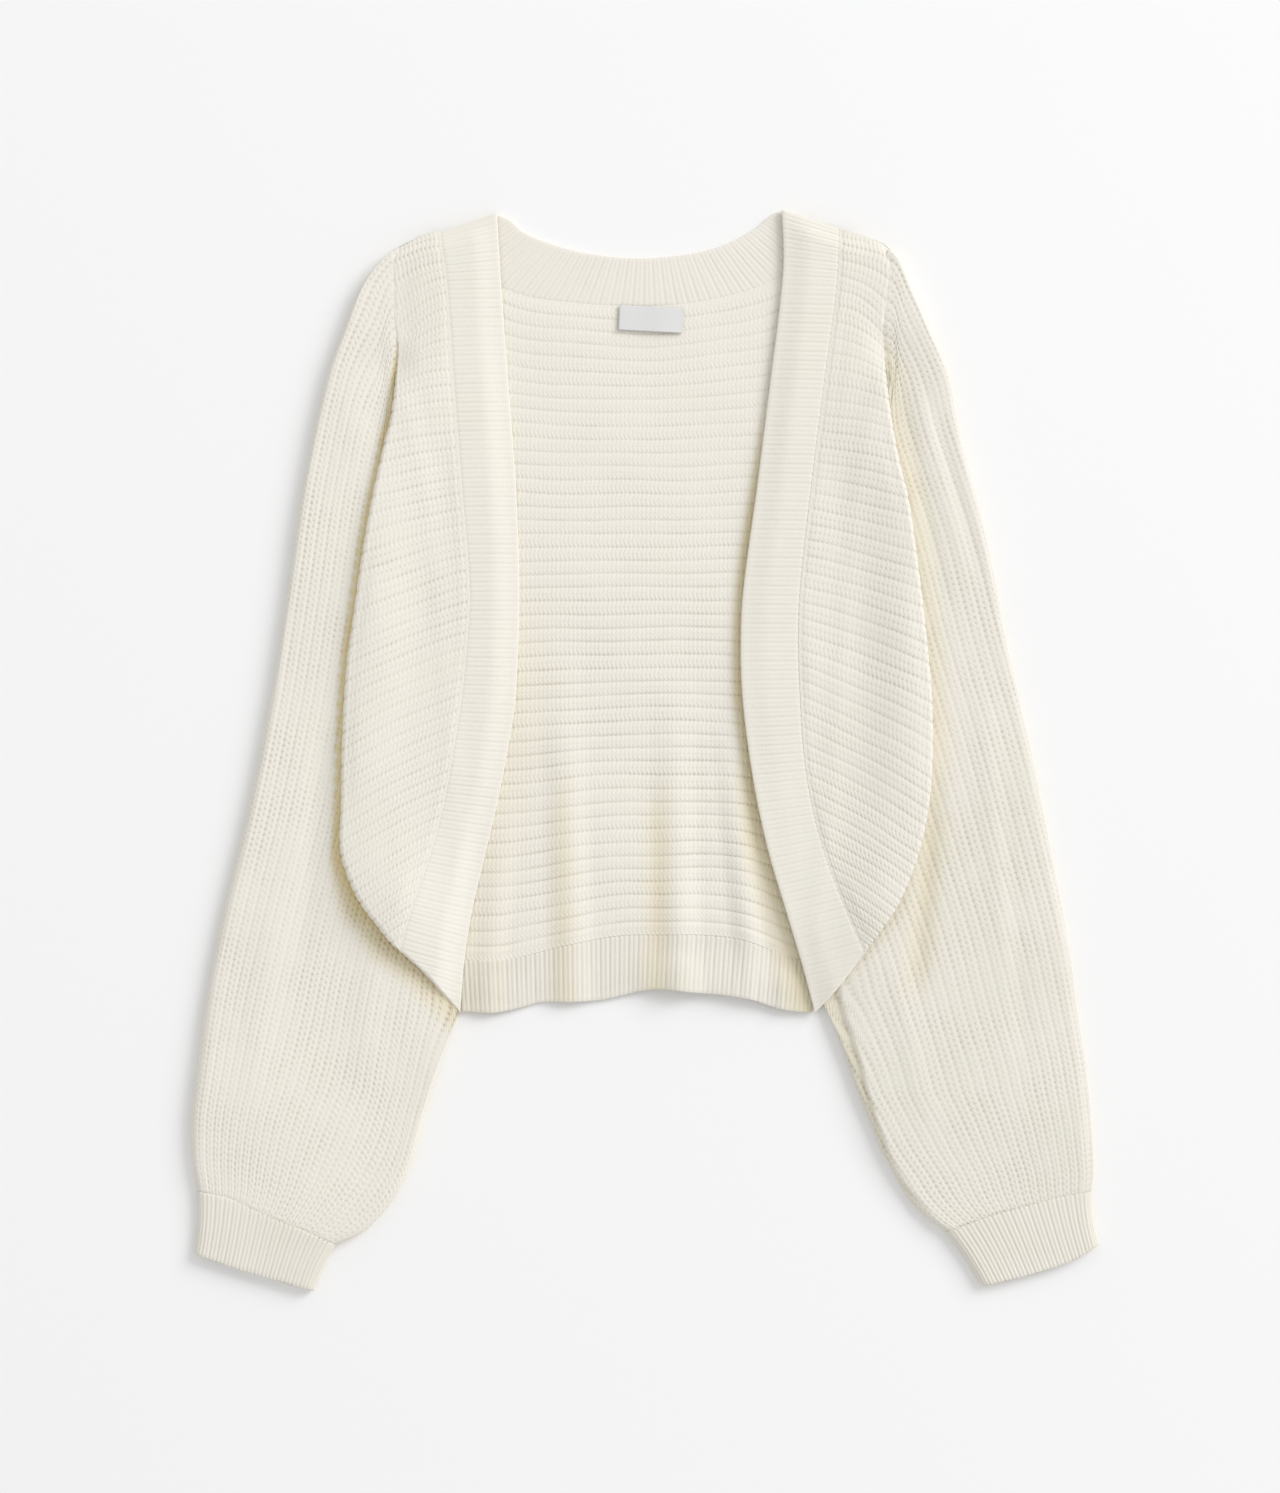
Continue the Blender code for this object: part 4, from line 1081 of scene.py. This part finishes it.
def makeFront(side):
    c = frontSettings
    shape = shapes[side]
    line = lines[side]
    sign = shape["sign"]
    ribs = round(line["seam"].length / frontPitch)
    v = ribRows(ribs, c["ribPattern"]) / ribs * c["seamShare"]
    table = np.array(shape["ribFall"], float)[::-1]
    seamPoint = line["seam"].at(v)
    endY = np.interp(seamPoint[:, 1], table[:, 0], table[:, 1])
    sag = np.interp(seamPoint[:, 1], table[:, 0], table[:, 2])
    end = line["fold"].at(line["fold"].placeOfY(endY))
    lift = ramp(shape["pleatStart"] - 4 - endY, 0, c["foldRise"])
    lap = c["lap"] * ramp(endY, shape["pleatStart"] - 8, shape["pleatStart"] + 12)
    end = end + together(sign * 0.9 * lap, -0.95 * lap)
    width = np.linalg.norm(end - seamPoint, axis=1)
    bow = sag * ramp(width, 0, 30)
    middle = mix(seamPoint, end, 0.5) + together(0 * bow, bow)
    width = width[:, None]
    lift = lift[:, None]
    r = (v / c["seamShare"] * ribs)[:, None]
    roundIn = np.minimum(mix(c["flatRound"], c["foldRound"], lift), width / 4)
    outDirection = unit(end - middle)[:, None, :]

    outline = np.vstack([line["shoulder"].points, line["contour"].points[:60]])
    across = outline[np.argsort(outline[:, 0])]

    def spot(inset):
        t = np.clip(1 - inset / width, 0, 1)[..., None]
        place = ((1 - t) ** 2 * seamPoint[:, None] + 2 * t * (1 - t) * middle[:, None]
                 + t ** 2 * end[:, None])
        first = place[:1]   # the first row runs along the outline
        off = np.interp(first[..., 0], across[:, 0], across[:, 1]) + 0.3 - first[..., 1]
        place[..., 1] += off * ramp(r, 3, 0)
        return place

    def layer(inset):
        inside = ramp(c["foldDepth"] - inset, 0, c["foldTaper"])
        wide = ramp(width, 0, c["foldDepth"])
        return c["foldExtra"] * lift * inside * wide * ramp(width - inset, 0, 14)

    column = np.linspace(0, 1, c["columns"])[None, :]
    inset = mix(width, roundIn, column)
    p = spot(inset)
    free = ramp(inset, 3, 12) * ramp(width - inset, 0, 8) * ramp(r, 0, 3) * ramp(ribs - r, 0, 3)
    p[..., 1] += c["wander"] * free * wander(*xy(p), 2.0 + sign, 30.0)
    x, y = xy(p)
    base = frontUnder(side, x, y)
    crease = creaseLift(frontCreases[side], x, y) + c["swell"] * free * wander(x, y, 5.0 + sign, 55.0)
    crest = layers["wall"] + layers["rib"]
    z = base + crest + layer(inset) + crease * ramp(inset, 0, 10) * ramp(width - inset, 0, 8)
    z = z - c["seamStep"] * ramp(width - inset, 5, 0)
    bend = 1 - np.minimum(distanceTo(outline[::2], x, y) / sleeveSettings["sideRound"], 1)
    sleeveTop = sleeveHeight(side, x, y) * (0.5 + 0.5 * np.sqrt(1 - bend ** 2))
    sleeveTop = sleeveTop + sleeveCrease(side, x, y) * (1 - bend) ** 2 + c["over"]
    lap = lap[:, None]
    z = mix(z, sleeveTop, ramp(inset, lap + 16, lap + 1) * (1 - lift))
    z = z - c["sink"] * ramp(inset, np.maximum(lap, 0.6), 0) * (1 - lift) * ramp(lap, 0, 4)
    angle = np.linspace(0, math.pi, c["roundColumns"])[None, 1:]
    roundInset = roundIn * (1 - np.sin(angle))
    q = spot(roundInset)
    baseQ = frontUnder(side, *xy(q))
    tall = crest + layer(roundInset * 0)
    zq = z[:, -1:] + baseQ - base[:, -1:] - tall * (0.5 - 0.5 * np.cos(angle))
    level = 0 * inset
    sideOut = np.concatenate([outDirection * np.sin(angle)[..., None] * (0.15 + 0.85 * lift[..., None]),
                              (np.cos(angle) + 0 * roundIn)[..., None]], axis=-1)
    sideOut = unit(sideOut)
    fade = mix(0.1, 1.0, ramp(width - inset, 0.3, 3)) * ramp(r, -0.2, 0.5)
    fade = fade * (mix(0.7, 1.0, ramp(y, 230, 90)) + 0.4 * ramp(y, 245, 272))
    fade = fade * mix(0.4, 1.0, np.maximum(ramp(inset, 0, 9), lift))
    under = ramp(angle, math.pi, math.pi * 0.8) * mix(1.0, c["scallop"], np.sin(angle)) + 0 * roundIn
    grid = {
        "points": beside(together(x, y, z), together(*xy(q), zq)),
        "outward": beside(straightUp(inset), sideOut),
        "shade": beside(level, c["underShade"] * ramp(angle, math.pi * 0.7, math.pi) + 0 * roundIn),
        "knit": beside(together(r + level, (width - inset) / c["stitch"], fade),
                       together(r + 0 * roundInset, (width - roundIn + angle * tall / 2) / c["stitch"],
                                under)),
    }
    pick = np.arange(0, len(v), c["underStep"])
    share = np.linspace(0, 1, 8)[None, :]
    inset = mix(width, roundIn, share)
    x, y = xy(spot(inset))
    lower = {"points": together(x, y, frontUnder(side, x, y))[pick],
             "knit": together(r + 0 * inset, (width - inset) / c["stitch"], 0 * inset)[pick],
             "shade": c["underShade"] + 0 * inset[pick]}
    return makeShell("front" + side.title(), [grid, lower], sheetJoins)


frontCream = (0.82, 0.789, 0.704)
fronts = {}
for side in shapes:
    fronts[side] = finishKnit(makeFront(side), frontRelief,
                              makeKnitMaterial("front_knit_" + side, frontCream, frontLook))
report("fronts")


# bands

bandSettings = {
    "pitch": 5.3,
    "stitch": 1.9,
    "columns": 18,
    "round": 0.7,
    "overlap": 1.2,           # how far it runs on and dips under its neighbour at the seam
    "dip": 0.8,
    "underShade": 0.6,        # painted shade on the underside
    "edgeFade": 6.0,
    "underStep": 12,          # every twelfth row goes on underneath
    "flatFront": {"left": (0.034, 0.452), "right": (0.035, 0.454)},
    "flatNeck": (0.030, 0.225),
    "flatHem": (0.030, 0.205),
}


def makeStrip(name, free, seam, r, height, edgeDrop=0.0, paintedShade=nothing):
    # a ribbed strip from its free, rounded edge to its seam; height(x, y) is its underside, and the last
    # argument, a function of x and y, gives painted shade
    c = bandSettings
    direction = unit(free - seam)[:, None, :]
    plain = np.linalg.norm(seam - free, axis=1)[:, None]
    seam = seam - direction[:, 0] * c["overlap"] * (1 - edgeDrop)
    across = np.linalg.norm(seam - free, axis=1)[:, None]
    tall = layers["wall"] + layers["bandRib"]
    angle = np.linspace(math.pi, 0, 7)[None, :-1]
    edge = c["round"] * (1 - np.sin(angle))
    share = np.linspace(0, 1, c["columns"])[None, :]
    ending = np.array([[0.35, 0.7, 1.0]])
    inset = beside(edge + 0 * across, mix(c["round"], plain, share), mix(plain, across, ending))
    flat = 0 * inset[:, edge.shape[1]:]
    x, y = xy(mix(free[:, None], seam[:, None], (inset / across)[..., None]))
    rise = beside(0.5 + 0.5 * np.cos(angle) + 0 * across, 1 + flat)
    lean = beside(np.sin(angle) + 0 * across, flat)
    upright = beside(np.cos(angle) + 0 * across, 1 + flat)
    drop = edgeDrop * ramp(across - inset, 2.2, 0) * tall * 0.6
    drop = drop + (1 - edgeDrop) * c["dip"] * ramp(inset - plain, 0, c["overlap"])
    outward = unit(np.concatenate([direction * lean[..., None], upright[..., None]], axis=-1))
    strength = ramp(across - inset, -0.3, 0.9) * ramp(upright, -1.0, -0.6) + 0 * drop
    strength = strength * mix(0.55, 1.0, ramp(inset, c["round"], c["edgeFade"]))
    # painted shade on the rounding that turns under at the free edge, or what the last argument gives
    grid = {"points": together(x, y, height(x, y) + tall * rise - drop), "outward": outward,
            "shade": np.maximum(0.4 * ramp(upright, -0.5, -0.95) + 0 * drop, paintedShade(x, y)),
            "knit": together(r[:, None], inset / c["stitch"], strength)}
    pick = np.unique([*range(0, len(r), c["underStep"]), len(r) - 1])
    inset = mix(c["round"], across, np.linspace(0, 1, 5)[None, :])
    x, y = xy(mix(free[:, None], seam[:, None], (inset / across)[..., None]))
    lower = {"points": together(x, y, height(x, y))[pick],
             "knit": together(r[:, None], inset / c["stitch"], 0 * inset)[pick],
             "shade": c["underShade"] + 0 * inset[pick]}
    return makeShell(name, [grid, lower], sheetJoins)


def makeFrontBand(side):
    c = bandSettings
    line = lines[side]
    ribs = round(line["free"].length / c["pitch"])
    v = ribRows(ribs, bandPattern) / ribs
    free = line["free"].at(v)
    table = np.array(shapes[side]["bandFall"], float)[::-1]
    endY = np.interp(free[:, 1], table[:, 0], table[:, 1])
    whole = np.vstack([line["seam"].points, line["lower"].points[1:]])
    seam = together(np.interp(-endY, -whole[:, 1], whole[:, 0]), endY)
    slanted = ramp(line["lower"].points[0, 1] - endY, -1.5, 1.5)[:, None]
    return makeStrip("frontBand" + side.title(), free, seam, v * ribs,
                     lambda x, y: bandUnder(side, x, y), slanted)


def makeFlatBand(name, freeRows, seamRows, lift, *paintedShade):
    free, seam = Line(freeRows), Line(seamRows)
    ribs = round(0.5 * (free.length + seam.length) / bandSettings["pitch"])
    v = ribRows(ribs, bandPattern) / ribs
    return makeStrip(name, free.at(v), seam.at(v), v * ribs, lift, 0.0, *paintedShade)


bandCream = {"front": (0.846, 0.816, 0.73), "neck": (0.846, 0.81, 0.735), "hem": (0.755, 0.728, 0.64)}
frontBands = {}
for side in shapes:
    material = makeKnitMaterial("front_band_knit_" + side, bandCream["front"], bandLook)
    frontBands[side] = finishKnit(makeFrontBand(side), bandRelief, material)
neckBand = finishKnit(makeFlatBand("neckBand", neckFree, neckSeam, nothing), bandRelief,
                      makeKnitMaterial("neck_band_knit", bandCream["neck"], bandLook))
# the hem takes the back's painted shade
hemBand = finishKnit(makeFlatBand("hemBand", hemFree, hemSeam, hemLift, backShade), endRelief,
                     makeKnitMaterial("hem_band_knit", bandCream["hem"], endLook))
report("bands")


# label, bare satin

labelSettings = {
    "center": (3.0, 241.5),
    "width": 36.0,
    "drop": 14.0,
    "turn": -3.0,
    "thick": 0.45,
    "height": 3.7,
    "curl": 0.9,
    "edge": 1.3,              # width of the darker rim
    "satin": (0.735, 0.735, 0.73),
    "rim": (0.62, 0.61, 0.58),
    "flat": (0.036, 0.014),
}


def makeLabel():
    c = labelSettings
    tilt = math.radians(c["turn"])
    a = np.linspace(-0.5, 0.5, 60)[None, :]
    b = np.linspace(0.5, -0.5, 24)[:, None]
    u, w = a * c["width"], b * c["drop"]
    x = c["center"][0] + u * math.cos(tilt) - w * math.sin(tilt)
    y = c["center"][1] + u * math.sin(tilt) + w * math.cos(tilt)
    belly = c["curl"] * (0.5 - b) * (0.35 + 0.65 * np.cos(a * math.pi) ** 0.5) + 0.15 * np.sin(a * 9)
    z = c["height"] + foldLift(x, y) + belly
    knit = together(u, w, 0 * x)
    top = {"points": together(x, y, z + c["thick"]), "outward": straightUp(x), "knit": knit}
    under = {"points": together(x, y, z), "knit": knit}
    return makeShell("sewnLabel", [top, under], sheetJoins)


def makeSatinMaterial():
    material, tree, u, w = startMaterial("label_satin")
    thread = (w * (turn * 2.2)).cos() * 0.5 + (u * (turn * 1.6)).cos() * 0.5
    edge = (abs(u) - (labelSettings["width"] / 2 - labelSettings["edge"])).clipped()
    color = tree.mixed((edge * 0.6 + thread * 0.08 + 0.08).clipped(), labelSettings["satin"],
                       labelSettings["rim"])
    bump = tree.add("ShaderNodeBump", None, {"Strength": 0.25, "Distance": 0.0002, "Height": thread})
    shader = tree.add("ShaderNodeBsdfPrincipled", None,
                      {"Base Color": color, "Roughness": 0.42, "Normal": bump.outputs[0],
                       "Sheen Weight": 0.1})
    tree.add("ShaderNodeOutputMaterial", None, {0: shader.outputs[0]})
    return material


label = makeLabel()
label.data.materials.append(makeSatinMaterial())
report("label")


# each piece hangs from the root body, and its imported part is hidden

def declare(obj, node, restsOn=()):
    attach(obj, "root")
    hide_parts(node)


declare(backPanel, "back")
declare(neckBand, "neck_band")
declare(hemBand, "hem_band")
declare(label, "label", ["backPanel"])
for side in shapes:
    name = side.title()
    declare(sleeves[side], "sleeve_" + side)
    declare(cuffs[side], "cuff_" + side)
    declare(fronts[side], "front_" + side,
            ["backPanel", "sleeve" + name])
    declare(frontBands[side], "front_band_" + side, ["backPanel"])


# floor, light and camera

studio = {
    "floor": (0.915, 0.915, 0.918),
    "floorReach": 4.0,        # metres from the middle
    "floorRoughness": 0.9,
    "sky": 0.72,
    "key": 385.0,             # watts
    "keyPlace": (5.55, 4.02, 4.12),
    "keySize": 4.0,
    "cameraHeight": 2.2,
    "lens": 94.7,
    "sensor": 36.0,
    "clipEnd": 20.0,
    "cameraCenter": (-0.0031, 0.0025),
}


def makeStudio():
    s = studio
    scene = bpy.context.scene
    scene.view_settings.view_transform = "Standard"
    world = bpy.data.worlds.new("studio")
    world.use_nodes = True
    world.node_tree.nodes["Background"].inputs[0].default_value = (1.0, 1.0, 1.0, 1.0)
    world.node_tree.nodes["Background"].inputs[1].default_value = s["sky"]
    scene.world = world
    mesh = bpy.data.meshes.new("floor")
    far = s["floorReach"]
    mesh.from_pydata([(-far, -far, 0), (far, -far, 0), (far, far, 0), (-far, far, 0)], [], [(0, 1, 2, 3)])
    floor = bpy.data.objects.new("floor", mesh)
    scene.collection.objects.link(floor)
    material = bpy.data.materials.new("floor")
    material.use_nodes = True
    shader = material.node_tree.nodes["Principled BSDF"]
    shader.inputs["Base Color"].default_value = (*s["floor"], 1.0)
    shader.inputs["Roughness"].default_value = s["floorRoughness"]
    mesh.materials.append(material)
    light = bpy.data.lights.new("key", "AREA")
    light.energy = s["key"]
    light.size = s["keySize"]
    key = bpy.data.objects.new("key", light)
    key.location = s["keyPlace"]
    scene.collection.objects.link(key)
    key.rotation_euler = (-Vector(s["keyPlace"])).to_track_quat("-Z", "Y").to_euler()
    view = bpy.data.cameras.new("view")
    view.lens = s["lens"]
    view.sensor_width = s["sensor"]
    view.clip_end = s["clipEnd"]
    camera = bpy.data.objects.new("view", view)
    camera.location = (*s["cameraCenter"], s["cameraHeight"])
    scene.collection.objects.link(camera)
    scene.camera = camera


makeStudio()
report("studio")
